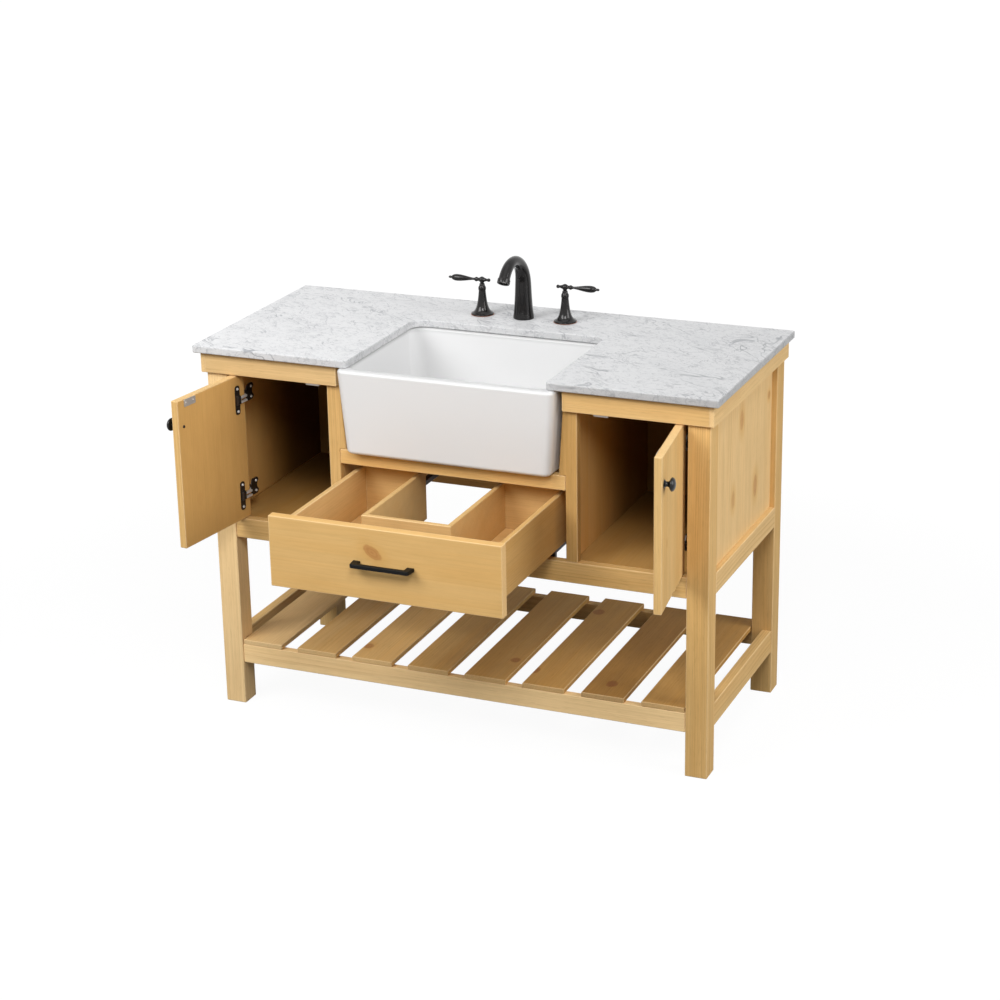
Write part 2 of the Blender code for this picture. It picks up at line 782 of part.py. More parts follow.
# Doors, in their own frames: u runs from the pivot to the free edge.
free = DOOR_WIDTH - PIVOT_EDGE
door_front = -PIVOT_SETBACK
door_back = DOOR_THICK - PIVOT_SETBACK
pocket_half = ARM_HALF + POCKET_CLEAR
hinge_heights = {"upper": DOOR_HIGH - HINGE_INSET, "lower": DOOR_LOW + HINGE_INSET}
for side, s in SIDES:
    pivot = doors[side]
    door = board(
        "door_" + side,
        (s * PIVOT_EDGE, door_front, DOOR_LOW),
        (-s * free, door_back, DOOR_HIGH),
        pivot,
        0.0016,
        2,
    )
    for level, z in hinge_heights.items():
        label = level + "_" + side
        pocket = block(
            (s * (PIVOT_EDGE + 0.01), door_front + POCKET_SKIN, z - pocket_half),
            (-s * (ARM_THICK + POCKET_CLEAR), door_back + 0.01, z + pocket_half),
        )
        joined(door, solid("pocket_" + label, pocket, "steel", pivot), "DIFFERENCE")
        reach = PIN_HALF + FIT
        bore = turned([(PIN_RADIUS + FIT, z - reach), (PIN_RADIUS + FIT, z + reach)], 16)
        joined(door, solid("pin_bore_" + label, bore, "steel", pivot), "DIFFERENCE")
        px, py = s * PIVOT_X, PIVOT_Y
        wall = LEG_IN - FIT
        foot_y = py + ARM_REACH
        arm_outline = [
            (px - s * ARM_THICK, py),
            (px - s * ARM_THICK, foot_y),
            (s * (wall - 0.0005), foot_y),
            (s * (wall - 0.0005), foot_y - ARM_TURN),
            (px, foot_y - ARM_TURN),
            (px, py),
        ]
        arm = solid(
            "hinge_" + label,
            prism(arm_outline, z - ARM_HALF, z + ARM_HALF, "Z", 0.0004),
            "black",
            cabinet,
        )
        eye = laid(turned([(EYE_RADIUS, z - ARM_HALF), (EYE_RADIUS, z + ARM_HALF)], 20), (px, py, 0))
        joined(arm, solid("eye_" + label, eye, "black", cabinet), "UNION")
        pin = laid(turned([(PIN_RADIUS, z - PIN_HALF), (PIN_RADIUS, z + PIN_HALF)], 16), (px, py, 0))
        joined(arm, solid("pin_" + label, pin, "black", cabinet), "UNION")
        plate = block(
            (s * wall, foot_y - ARM_TURN / 2 - PLATE_DEPTH / 2 + 0.004, z - PLATE_HALF),
            (s * (wall - PLATE_THICK), foot_y - ARM_TURN / 2 + PLATE_DEPTH / 2 + 0.004, z + PLATE_HALF),
            0.0006,
        )
        joined(arm, solid("plate_" + label, plate, "black", cabinet), "UNION")
    r = KNOB_RADIUS
    knob_profile = [
        (r * 0.62, FIT),
        (r * 0.62, FIT + 0.0012),
        (r * 0.42, FIT + 0.0032),
        (r * 0.36, KNOB_REACH * 0.30),
        (r * 0.42, KNOB_REACH * 0.42),
        (r * 0.80, KNOB_REACH * 0.52),
        (r * 0.97, KNOB_REACH * 0.62),
        (r, KNOB_REACH * 0.70),
        (r * 0.95, KNOB_REACH * 0.80),
        (r * 0.78, KNOB_REACH * 0.90),
        (r * 0.50, KNOB_REACH * 0.97),
        (r * 0.18, KNOB_REACH),
    ]
    knob = laid(
        turned(knob_profile),
        (-s * (free - KNOB_EDGE), door_front, DOOR_HIGH - KNOB_DROP),
        "Y",
        -1,
    )
    solid("knob_" + side, knob, "black", pivot, smooth=True)

# Drawer, modelled shut and drawn out by its parent.
board(
    "drawer_front",
    (-DRAWER_HALF, FACE_RECESS, DRAWER_LOW),
    (DRAWER_HALF, FACE_RECESS + DRAWER_FRONT_THICK, DRAWER_HIGH),
    drawer,
    0.0016,
    2,
)
for side, s in SIDES:
    board(
        "drawer_side_" + side,
        (s * BOX_IN, BOX_FRONT, BOX_LOW),
        (s * BOX_HALF, BOX_BACK, BOX_TOP),
        drawer,
    )
inside = BOX_IN - FIT
wall_front = BOX_BACK - DRAWER_WALL
notch_out = NOTCH_HALF + DRAWER_WALL
back_outline = [
    (-inside, wall_front),
    (-notch_out, wall_front),
    (-notch_out, FACE_RECESS + NOTCH_FRONT),
    (notch_out, FACE_RECESS + NOTCH_FRONT),
    (notch_out, wall_front),
    (inside, wall_front),
    (inside, BOX_BACK),
    (NOTCH_HALF, BOX_BACK),
    (NOTCH_HALF, FACE_RECESS + NOTCH_FRONT + DRAWER_WALL),
    (-NOTCH_HALF, FACE_RECESS + NOTCH_FRONT + DRAWER_WALL),
    (-NOTCH_HALF, BOX_BACK),
    (-inside, BOX_BACK),
]
solid("drawer_back", prism(back_outline, TRAY_LOW, BOX_TOP, "Z", EASE), "pine", drawer)
tray_outline = [
    (-inside, BOX_FRONT),
    (inside, BOX_FRONT),
    (inside, wall_front - FIT),
    (notch_out + FIT, wall_front - FIT),
    (notch_out + FIT, FACE_RECESS + NOTCH_FRONT - FIT),
    (-notch_out - FIT, FACE_RECESS + NOTCH_FRONT - FIT),
    (-notch_out - FIT, wall_front - FIT),
    (-inside, wall_front - FIT),
]
solid(
    "drawer_bottom",
    prism(tray_outline, TRAY_LOW, TRAY_LOW + DRAWER_FLOOR_THICK, "Z", 0.0006),
    "pine",
    drawer,
)
centre = HANDLE_CENTRES / 2
grip = FACE_RECESS - FIT
bar_in = FACE_RECESS - HANDLE_REACH + HANDLE_BAR
bar_out = FACE_RECESS - HANDLE_REACH
handle_outline = rounded(
    [
        (-centre - HANDLE_FOOT / 2, grip, 0.0),
        (-centre - HANDLE_FOOT * 0.36, bar_out, 0.004),
        (centre + HANDLE_FOOT * 0.36, bar_out, 0.004),
        (centre + HANDLE_FOOT / 2, grip, 0.0),
        (centre - HANDLE_FOOT * 0.30, grip, 0.0),
        (centre - HANDLE_FOOT * 0.30, bar_in, 0.003),
        (-centre + HANDLE_FOOT * 0.30, bar_in, 0.003),
        (-centre + HANDLE_FOOT * 0.30, grip, 0.0),
    ],
    4,
)
handle_low = HANDLE_Z - HANDLE_HEIGHT / 2
solid(
    "drawer_handle",
    prism(handle_outline, handle_low, handle_low + HANDLE_HEIGHT, "Z", 0.0018),
    "black",
    drawer,
)

# Undermount slides: the rail sits between the front rail and the back panel.
for side, s in SIDES:
    rail_high = SLIDE_SEAM - FIT
    rail_under = rail_high - SLIDE_RAIL_THICK
    near = FRAME_BACK + FIT
    far = BACK_PANEL_FRONT - FIT
    start = BOX_FRONT + SLIDE_START
    rail_outline = [
        (near, rail_under - SLIDE_FOOT_DROP),
        (near + SLIDE_FOOT, rail_under - SLIDE_FOOT_DROP),
        (near + SLIDE_FOOT, rail_under),
        (far, rail_under),
        (far, rail_high),
        (start, rail_high),
        (start, BASE_RAIL_TOP),
        (near, BASE_RAIL_TOP),
    ]
    solid(
        "slide_rail_" + side,
        prism(rail_outline, s * SLIDE_IN, s * (SLIDE_IN + SLIDE_WIDTH), "X", 0.0006),
        "steel",
        cabinet,
    )
    middle = SLIDE_IN + SLIDE_WIDTH / 2
    runner = block(
        (s * (middle - RUNNER_WIDTH / 2), BOX_FRONT, SLIDE_SEAM),
        (s * (middle + RUNNER_WIDTH / 2), BOX_BACK + RUNNER_TAIL, TRAY_LOW - FIT),
        0.0006,
    )
    solid("slide_runner_" + side, runner, "steel", drawer)
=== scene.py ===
import json
import math
import random

import bmesh
import bpy
from mathutils import Matrix, Vector


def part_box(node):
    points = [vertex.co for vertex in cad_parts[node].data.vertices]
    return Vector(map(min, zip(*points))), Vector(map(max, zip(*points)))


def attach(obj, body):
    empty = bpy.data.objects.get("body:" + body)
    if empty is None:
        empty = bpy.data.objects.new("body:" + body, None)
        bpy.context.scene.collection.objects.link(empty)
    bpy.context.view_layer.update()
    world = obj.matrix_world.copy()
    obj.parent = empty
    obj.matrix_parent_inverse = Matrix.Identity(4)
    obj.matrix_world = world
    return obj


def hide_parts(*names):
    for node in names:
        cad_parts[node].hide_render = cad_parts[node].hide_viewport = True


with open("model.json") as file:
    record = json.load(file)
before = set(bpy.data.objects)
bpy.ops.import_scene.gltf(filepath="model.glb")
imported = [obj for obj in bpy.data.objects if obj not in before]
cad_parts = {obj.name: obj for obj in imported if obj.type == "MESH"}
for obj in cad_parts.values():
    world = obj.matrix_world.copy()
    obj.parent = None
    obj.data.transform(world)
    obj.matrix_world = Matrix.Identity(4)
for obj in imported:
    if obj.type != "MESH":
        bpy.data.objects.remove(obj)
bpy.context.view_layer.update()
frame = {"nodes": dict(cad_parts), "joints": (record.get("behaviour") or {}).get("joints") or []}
nodes = frame["nodes"]
joints = {joint["name"]: joint for joint in frame["joints"]}

sides = (("left", -1), ("right", 1))


def addObject(name, data):
    made = bpy.data.objects.new(name, data)
    bpy.context.scene.collection.objects.link(made)
    return made


# Camera at the photograph's angle, for a square picture.
viewpoint = {
    "place": (2.01228, -4.53252, 2.33192),
    "pitch": 19.865,
    "yaw": 23.0796,
    "roll": -1.0549,
    "lens": 86.30,
}
cameraData = bpy.data.cameras.new("camera")
cameraData.lens = viewpoint["lens"]
cameraData.sensor_width = 36.0
camera = addObject("camera", cameraData)
camera.matrix_world = (
    Matrix.Translation(viewpoint["place"])
    @ Matrix.Rotation(math.radians(viewpoint["yaw"]), 4, "Z")
    @ Matrix.Rotation(math.radians(90 - viewpoint["pitch"]), 4, "X")
    @ Matrix.Rotation(math.radians(viewpoint["roll"]), 4, "Z")
)
bpy.context.scene.camera = camera
bpy.context.scene.view_settings.view_transform = "Standard"
print("camera set")


# Shader maths: a Wire is one output socket, and sums of Wires add Math nodes.
class Wire:
    def __init__(self, finish, socket):
        self.finish = finish
        self.socket = socket

    def other(self, index):
        return Wire(self.finish, self.socket.node.outputs[index])

    def maths(self, operation, first, second=0.0):
        return self.finish.node("Math", {"operation": operation}, {0: first, 1: second})

    def __add__(self, value):
        return self.maths("ADD", self, value)

    def __radd__(self, value):
        return self.maths("ADD", value, self)

    def __sub__(self, value):
        return self.maths("SUBTRACT", self, value)

    def __rsub__(self, value):
        return self.maths("SUBTRACT", value, self)

    def __mul__(self, value):
        return self.maths("MULTIPLY", self, value)

    def __rmul__(self, value):
        return self.maths("MULTIPLY", value, self)

    def __truediv__(self, value):
        return self.maths("DIVIDE", self, value)

    def __rtruediv__(self, value):
        return self.maths("DIVIDE", value, self)

    def __pow__(self, value):
        return self.maths("POWER", self, value)

    def __abs__(self):
        return self.maths("ABSOLUTE", self)

    def larger(self, value):
        return self.maths("MAXIMUM", self, value)

    def sine(self):
        return self.maths("SINE", self)

    def fraction(self):
        return self.maths("FRACT", self)


class Finish:
    def __init__(self, name):
        self.material = bpy.data.materials.new(name)
        self.material.use_nodes = True
        self.tree = self.material.node_tree
        self.shader = self.tree.nodes["Principled BSDF"]

    def put(self, value, socket):
        if isinstance(value, Wire):
            self.tree.links.new(value.socket, socket)
        else:
            socket.default_value = value

    def node(self, kind, settings, sockets, output=0):
        made = self.tree.nodes.new("ShaderNode" + kind)
        for key, value in settings.items():
            setattr(made, key, value)
        for key, value in sockets.items():
            self.put(value, made.inputs[key])
        return Wire(self, made.outputs[output])

    def join(self, x, y, z):
        return self.node("CombineXYZ", {}, {0: x, 1: y, 2: z})

    def split(self, vector):
        first = self.node("SeparateXYZ", {}, {0: vector})
        return first, first.other(1), first.other(2)

    def upward(self):
        return self.split(self.node("NewGeometry", {}, {}, 1))[2]

    def place(self, centre=(0, 0, 0), turn=(0, 0, 0)):
        where = self.node("TexCoord", {}, {}, 3)
        return self.node(
            "Mapping",
            {"vector_type": "TEXTURE"},
            {"Vector": where, "Location": centre, "Rotation": turn},
        )

    def noise(self, vector, scale, detail=2.0, rough=0.5, distort=0.0):
        sockets = {"Vector": vector, "Scale": scale, "Detail": detail}
        sockets.update({"Roughness": rough, "Distortion": distort})
        return self.node("TexNoise", {}, sockets)

    def step(self, value, low, high):
        sockets = {0: value, 1: low, 2: high, 3: 0.0, 4: 1.0}
        return self.node("MapRange", {"interpolation_type": "SMOOTHSTEP"}, sockets)

    def mix(self, share, first, second, way="MIX"):
        settings = {"data_type": "RGBA", "blend_type": way}
        return self.node("Mix", settings, {0: share, 6: first, 7: second}, 2)

    def shaded(self, colour, red, green, blue):
        return self.mix(1.0, colour, self.join(red, green, blue), "MULTIPLY")

    def bump(self, height, strength, distance):
        sockets = {"Height": height, "Strength": strength, "Distance": distance}
        return self.node("Bump", {}, sockets)

    def surface(self, **sockets):
        for key, value in sockets.items():
            self.put(value, self.shader.inputs[key.replace("_", " ")])
        return self.material


class Sky(Finish):
    def __init__(self, name):
        self.world = bpy.data.worlds.new(name)
        self.world.use_nodes = True
        self.tree = self.world.node_tree
        self.tree.nodes.remove(self.tree.nodes["Background"])


def paint(red, green, blue):
    return (red, green, blue, 1.0)


# Knotty pine. Growth rings run round a pith beside each board, so the faces show straight or
# cathedral grain and the ends show arcs.
pineLook = {
    "spring": paint(0.747, 0.491, 0.205),
    "summer": paint(0.565, 0.327, 0.108),
    "amber": paint(0.650, 0.360, 0.102),
    "knot": paint(0.390, 0.142, 0.042),
    "veneer": paint(0.605, 0.338, 0.102),
    "pale": paint(0.830, 0.611, 0.338),
    "ringGap": (0.0040, 0.0075),
    "ringShow": 0.64,
    "wander": 0.020,
    "quiver": 0.0030,
    "edgeWidth": 0.0028,
    "endWidth": (0.0014, 0.0006),
    "skin": (0.0030, 0.0022),
    "veneerShow": 0.85,
    "amberShow": 0.34,
    "haloShow": 0.45,
    "knotRim": (0.70, 1.10),
    "haloRim": (0.8, 2.4),
    "rough": 0.54,
    "specular": 0.16,
    "bump": (0.16, 0.0006),
    # of each noise: cycles a metre along and across the grain, detail, roughness
    "figure": {
        "wander": (1.5, 7.0, 2.0, 0.45),
        "quiver": (3.0, 55.0, 1.0, 0.5),
        "fibre": (7.0, 420.0, 3.0, 0.6),
        "drift": (1.2, 24.0, 3.0, 0.55),
        "band": (2.2, 95.0, 2.0, 0.5),
        "fleck": (38.0, 640.0, 1.0, 0.5),
        "blotch": (9.0, 22.0, 3.0, 0.6),
    },
    # how far each noise moves the shade
    "shade": {"fibre": 0.34, "band": 0.14, "fleck": 0.10, "drift": 0.10, "blotch": 0.16},
}
pineDraw = random.Random(41)


def boardBox(node, turn):
    back = Matrix.Rotation(-turn, 3, "Z")
    points = [back @ corner.co for corner in nodes[node].data.vertices]
    low = Vector([min(p[i] for p in points) for i in range(3)])
    high = Vector([max(p[i] for p in points) for i in range(3)])
    return Matrix.Rotation(turn, 3, "Z") @ ((low + high) / 2), (high - low) / 2


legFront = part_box("leg_front_left")[0].y
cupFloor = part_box("floor_left")[0].z


def pineFinish(
    node, grain, tone=1.0, warm=0.0, pale=0.0, knots=(), turn=0.0, plain=0, show=1.0, paintedShade=None
):
    look = pineLook
    centre, half = boardBox(node, turn)
    finish = Finish("pine." + node)
    local = finish.place(centre, (0, 0, turn))
    axes = finish.split(local)
    order = sorted((i for i in range(3) if i != grain), key=lambda i: -half[i])
    along, wide, thick = axes[grain], axes[order[0]], axes[order[1]]
    seed = pineDraw.uniform(0, 90)
    pithWide = pineDraw.choice((-1, 1)) * pineDraw.uniform(0.02, 0.16)
    pithThick = pineDraw.choice((-1, 1)) * pineDraw.uniform(0.05, 0.15)
    gap = pineDraw.uniform(*look["ringGap"])

    def figured(length, across, detail, rough):
        spot = finish.join(along * length + seed, wide * across, thick * across)
        return finish.noise(spot, 1.0, detail, rough)

    figure = {kind: figured(*numbers) for kind, numbers in look["figure"].items()}

    def sway(kind, reach):
        return (figure[kind] - 0.5) * reach

    def skin(way):
        face = half[order[1]]
        return finish.step(thick * way, face - look["skin"][0], face - look["skin"][1])

    # one face of a panel can be a plainer veneer
    bare = 1.0
    if plain:
        veneer = skin(plain) * look["veneerShow"]
        bare = 1.0 - veneer

    # rings round the pith, pushed aside by knots
    reach = (wide - pithWide) ** 2 + (thick - pithThick) ** 2
    radius = reach ** 0.5 + sway("wander", look["wander"]) + sway("quiver", look["quiver"])
    core = None
    halo = None
    for spot in knots:
        lean = math.radians(spot.get("lean", 0.0))
        a = along - spot["at"][0]
        w = wide - spot["at"][1]
        across = a * math.cos(lean) + w * math.sin(lean)
        down = w * math.cos(lean) - a * math.sin(lean)
        far = ((across / spot["size"][0]) ** 2 + (down / spot["size"][1]) ** 2) ** 0.5
        far = far + (finish.noise(local, 70.0, 2.0) - 0.5) * 0.4
        radius = radius + gap * spot.get("push", 3.0) / (1.0 + far * far)
        eye = (1.0 - finish.step(far, *look["knotRim"])) * spot.get("dark", 0.8) * bare
        eye = eye * ((far * 16.0).sine() * 0.12 + 0.88)
        glow = (1.0 - finish.step(far, *look["haloRim"])) * bare * look["haloShow"]
        core = eye if core is None else core.larger(eye)
        halo = glow if halo is None else halo.larger(glow)
    phase = radius / gap
    saw = phase.fraction()
    late = finish.step(saw, 0.30, 0.90) * (1.0 - finish.step(saw, 0.90, 1.0))
    years = finish.join(phase * 0.37, along * 0.6 + seed, seed)
    late = late * finish.step(finish.noise(years, 1.0, 1.0), 0.30, 0.75) * bare

    colour = finish.mix(late * (look["ringShow"] * show), look["spring"], look["summer"])
    streak = finish.step(figure["drift"], 0.40, 0.72) * bare
    colour = finish.mix(streak * look["amberShow"] + warm, colour, look["amber"])
    if pale:
        colour = finish.mix(pale, colour, look["pale"])
    if plain:
        colour = finish.mix(veneer, colour, look["veneer"])
    if knots:
        colour = finish.mix(halo, colour, look["amber"])
        colour = finish.mix(core, colour, look["knot"])

    # fine fibres and broad drifts of colour
    by = look["shade"]
    fleck = finish.step(figure["fleck"], 0.58, 0.74)
    fine = sway("fibre", by["fibre"]) + sway("band", by["band"]) - fleck * by["fleck"]
    shade = fine * show * (bare * 0.6 + 0.4) + tone
    shade = shade + sway("drift", by["drift"]) + sway("blotch", by["blotch"])
    if paintedShade:
        # painted light and shade: the inner face is set lighter or darker at the front and darkens
        # toward the back, standing in for how light falls inside the cupboard
        near, far = paintedShade["span"]
        depth = finish.step(axes[1] + centre[1], legFront + near, legFront + far)
        within = skin(paintedShade["side"])
        within = within * finish.step(axes[2] + centre[2], cupFloor - 0.02, cupFloor)
        start, end = paintedShade["keep"]
        shade = shade * (1.0 - within * (1.0 - start + depth * (start - end)))
    colour = finish.shaded(colour, shade, shade ** 1.15, shade ** 1.45)

    # sanded arrises take less stain
    inset = look["edgeWidth"]
    sharp = [finish.step(abs(axes[i]), half[i] - inset, half[i] - inset * 0.35) for i in range(3)]
    edge = (sharp[0] * sharp[1]).larger(sharp[1] * sharp[2]).larger(sharp[2] * sharp[0])
    outer, inner = (half[grain] - width for width in look["endWidth"])
    edge = edge.larger(finish.step(abs(along), outer, inner) * 0.8)
    if paintedShade:
        edge = edge * (1.0 - within)
    fibre = figure["fibre"]
    colour = finish.mix(edge * (fibre * 0.5 + 0.2), colour, look["pale"])
    return finish.surface(
        Base_Color=colour,
        Roughness=fibre * 0.16 + late * 0.06 + look["rough"],
        Normal=finish.bump(fibre * 0.7 - late * 0.5, *look["bump"]),
        Specular_IOR_Level=look["specular"],
    )


doorTurn = {
    side: s * -math.radians(joints[side + "_door_hinge"]["range_deg"][0])
    for side, s in sides
}

# Painted shade: the entries that darken inner faces towards the back, on the cupboard floors,
# partitions, back panel, left side panel and back left leg, stand in for the shade inside the
# cupboards; the left side panel and right partition are also made lighter near the front
cupboardFloor = {
    "grain": 1,
    "tone": 0.80,
    "warm": 0.60,
    "show": 0.35,
    "paintedShade": {"side": 1, "span": (0.04, 0.40), "keep": (0.90, 0.28)},
}
# Besides each board's own shade of pine, tone, warm and pale also paint in light and shade: boards
# in bright light are lighter or paler, and boards in shade darker and warmer
boards = {
    "trim_front_left": {"grain": 0, "tone": 0.87, "pale": 0.48},
    "trim_front_right": {"grain": 0, "tone": 0.94, "pale": 0.10},
    "trim_side_left": {"grain": 1, "tone": 1.00},
    "trim_side_right": {"grain": 1, "tone": 1.03, "pale": 0.30},
    "leg_front_left": {"grain": 2, "tone": 1.13, "pale": 0.45, "show": 1.2},
    "leg_front_right": {"grain": 2, "tone": 0.98, "warm": 0.14, "show": 1.2},
    "leg_back_left": {
        "grain": 2,
        "tone": 0.98,
        "paintedShade": {"side": -1, "span": (0.0, 0.1), "keep": (0.44, 0.44)},
    },
    "leg_back_right": {"grain": 2, "tone": 0.92, "show": 1.2},
    "stile_left": {"grain": 2, "tone": 0.90, "warm": 0.08},
    "stile_right": {"grain": 2, "tone": 0.78, "warm": 0.42},
    "sink_rail": {"grain": 0, "tone": 1.04, "warm": 0.20},
    "bottom_front_rail": {"grain": 0, "tone": 1.02, "warm": 0.20, "show": 1.2},
    "bottom_back_rail": {"grain": 0},
    "top_back_rail": {"grain": 0},
    "side_rail_left": {"grain": 1},
    "side_rail_right": {"grain": 1, "tone": 1.02, "pale": 0.2},
    "side_panel_left": {
        "grain": 2,
        "show": 0.6,
        "plain": 1,
        "paintedShade": {"side": 1, "span": (0.07, 0.36), "keep": (1.30, 0.19)},
        "knots": (
            {"at": (0.070, 0.110), "size": (0.024, 0.019), "dark": 0.45},
            {"at": (-0.092, -0.050), "size": (0.019, 0.015), "dark": 0.45},
        ),
    },
    "side_panel_right": {
        "grain": 2,
        "tone": 1.05,
        "pale": 0.30,
        "plain": -1,
        "knots": (
            {"at": (0.105, -0.009), "size": (0.025, 0.013), "dark": 0.44},
            {"at": (-0.059, -0.064), "size": (0.022, 0.011), "dark": 0.40},
            {"at": (-0.079, 0.098), "size": (0.027, 0.014), "dark": 0.50},
            {"at": (0.102, 0.192), "size": (0.011, 0.009), "dark": 0.6},
        ),
    },
    "partition_left": {
        "grain": 2,
        "tone": 0.88,
        "warm": 0.30,
        "show": 0.35,
        "paintedShade": {"side": -1, "span": (0.06, 0.30), "keep": (0.50, 0.20)},
    },
    "partition_right": {
        "grain": 2,
        "tone": 1.02,
        "warm": 0.45,
        "show": 0.35,
        "paintedShade": {"side": 1, "span": (0.04, 0.38), "keep": (1.22, 0.27)},
    },
    "floor_left": cupboardFloor,
    "floor_right": cupboardFloor,
    "back_panel": {
        "grain": 2,
        "tone": 0.90,
        "warm": 0.20,
        "show": 0.5,
        "paintedShade": {"side": -1, "span": (0.0, 0.1), "keep": (0.32, 0.32)},
    },
    "shelf_rail_front": {"grain": 0, "tone": 1.26, "pale": 0.36, "show": 1.1},
    "shelf_rail_back": {"grain": 0},
    "shelf_rail_left": {"grain": 1},
    "shelf_rail_right": {"grain": 1},
    "slat_1": {"grain": 1, "tone": 0.99, "show": 0.9, "pale": 0.30},
    "slat_2": {"grain": 1, "tone": 1.02, "show": 0.9, "warm": 0.15},
    "slat_3": {
        "grain": 1,
        "warm": 0.35,
        "tone": 1.09,
        "show": 0.9,
        "knots": ({"at": (-0.196, -0.0385), "size": (0.015, 0.012), "dark": 0.7},),
    },
    "slat_4": {"grain": 1, "tone": 0.94, "warm": 0.55},
    "slat_5": {
        "grain": 1,
        "warm": 0.70,
        "tone": 0.92,
        "show": 0.9,
        "knots": ({"at": (-0.152, 0.029), "size": (0.014, 0.012)},),
    },
    # painted shade: slats 6 to 8 are darker and warmer, standing in for the shadow of the cabinet
    # over the right of the shelf
    "slat_6": {
        "grain": 1,
        "warm": 0.80,
        "tone": 0.80,
        "show": 0.9,
        "knots": (
            {"at": (-0.189, -0.047), "size": (0.018, 0.010)},
            {"at": (0.176, -0.033), "size": (0.018, 0.015)},
        ),
    },
    "slat_7": {
        "grain": 1,
        "warm": 0.92,
        "tone": 0.57,
        "show": 0.9,
        "knots": ({"at": (-0.199, -0.001), "size": (0.018, 0.014)},),
    },
    "slat_8": {"grain": 1, "tone": 0.78, "warm": 0.78, "show": 0.9},
    "drawer_front": {
        "grain": 0,
        "show": 0.45,
        "tone": 0.97,
        "warm": 0.26,
        "knots": (
            {"at": (-0.025, 0.0275), "size": (0.024, 0.0130), "lean": -33.0, "dark": 0.66},
        ),
    },
    "drawer_side_left": {"grain": 1, "tone": 0.82, "pale": 0.25, "show": 0.5},
    "drawer_side_right": {"grain": 1, "tone": 0.88, "warm": 0.36, "show": 0.6},
    "drawer_back": {"grain": 0, "tone": 0.81, "pale": 0.18, "show": 0.5},
    "drawer_bottom": {"grain": 0, "tone": 1.08, "warm": 0.05, "show": 0.35},
    "door_left": {
        "grain": 2,
        "plain": 1,
        "turn": doorTurn["left"],
        "knots": ({"at": (-0.070, 0.060), "size": (0.020, 0.012), "dark": 0.5},),
    },
    "door_right": {
        "grain": 2,
        "plain": 1,
        "tone": 0.97,
        "turn": doorTurn["right"],
        "knots": (
            {"at": (-0.031, -0.0685), "size": (0.011, 0.003), "dark": 0.5, "push": 1.5},
        ),
    },
}


def dress(name, material):
    nodes[name].data.materials.clear()
    nodes[name].data.materials.append(material)


for name, choice in boards.items():
    dress(name, pineFinish(name, **choice))
print("pine on", len(boards), "boards")


# Other finishes.
stoneLook = {
    "ground": paint(0.845, 0.848, 0.856),
    "cloud": paint(0.600, 0.610, 0.630),
    "vein": paint(0.270, 0.282, 0.308),
    "centre": (0.1, 0.0, 0.85),
    "lean": -31.0,
    "stretch": (0.40, 1.0, 0.8),
    "shade": 0.83,
    # painted shade on the slab's upright edges
    "honedAndShaded": 0.18,
    # painted light: the top is lighter to the left and towards the back
    "drift": (-0.20, 0.13),
    "rough": 0.42,
    "specular": 0.25,
    "veins": (
        {"scale": 9.0, "width": 0.014, "gate": 0.47, "show": 0.74},
        {"scale": 20.0, "width": 0.022, "gate": 0.45, "show": 0.58},
        {"scale": 46.0, "width": 0.034, "gate": 0.45, "show": 0.46},
        {"scale": 100.0, "width": 0.050, "gate": 0.43, "show": 0.34},
    ),
}


def stoneFinish():
    look = stoneLook
    finish = Finish("veinedStone")
    local = finish.place(look["centre"], (0.0, 0.0, math.radians(look["lean"])))
    drawn = finish.node("VectorMath", {"operation": "MULTIPLY"}, {0: local, 1: look["stretch"]})
    cloud = finish.noise(drawn, 13.0, 4.0, 0.6, 0.6)
    colour = finish.mix(finish.step(cloud, 0.46, 0.78) * 0.28, look["ground"], look["cloud"])
    mark = None
    for vein in look["veins"]:
        field = finish.noise(drawn, vein["scale"], 3.0, 0.58, 0.9)
        line = 1.0 - finish.step(abs(field - 0.5), 0.0, vein["width"])
        patch = finish.noise(local, vein["scale"] * 0.7, 2.0)
        line = line * finish.step(patch, vein["gate"], vein["gate"] + 0.16) * vein["show"]
        mark = line if mark is None else mark.larger(line)
    colour = finish.mix(mark, colour, look["vein"])
    grit = finish.noise(local, 420.0, 2.0) - 0.5
    # painted shade: the upright edges are darkened, standing in for the shade on them; they are also
    # made rougher
    honedAndShaded = 1.0 - finish.step(abs(finish.upward()), 0.80, 0.99)
    # painted light: the stone is lighter to the left and towards the back, standing in for how the
    # lamps fall on it
    x, y = finish.split(finish.place())[:2]
    paintedFalloff = x * look["drift"][0] + y * look["drift"][1]
    shade = grit * 0.16 + look["shade"] + paintedFalloff - honedAndShaded * look["honedAndShaded"]
    return finish.surface(
        Base_Color=finish.shaded(colour, shade, shade, shade),
        Roughness=look["rough"] + mark * 0.10 + grit * 0.08 + honedAndShaded * 0.20,
        Specular_IOR_Level=look["specular"],
        Normal=finish.bump(grit - mark, 0.05, 0.0003),
    )


glazeLook = {
    "deep": paint(0.708, 0.708, 0.708),
    "bright": paint(0.728, 0.729, 0.730),
    # painted shade on faces turned up
    "thin": 0.13,
    # painted shadow under the stone, behind the apron
    "joint": 0.20,
    "stoneShadowFrom": (-0.085, -0.075),
    "stoneShadowDepth": (0.013, 0.005),
    "rough": 0.30,
}


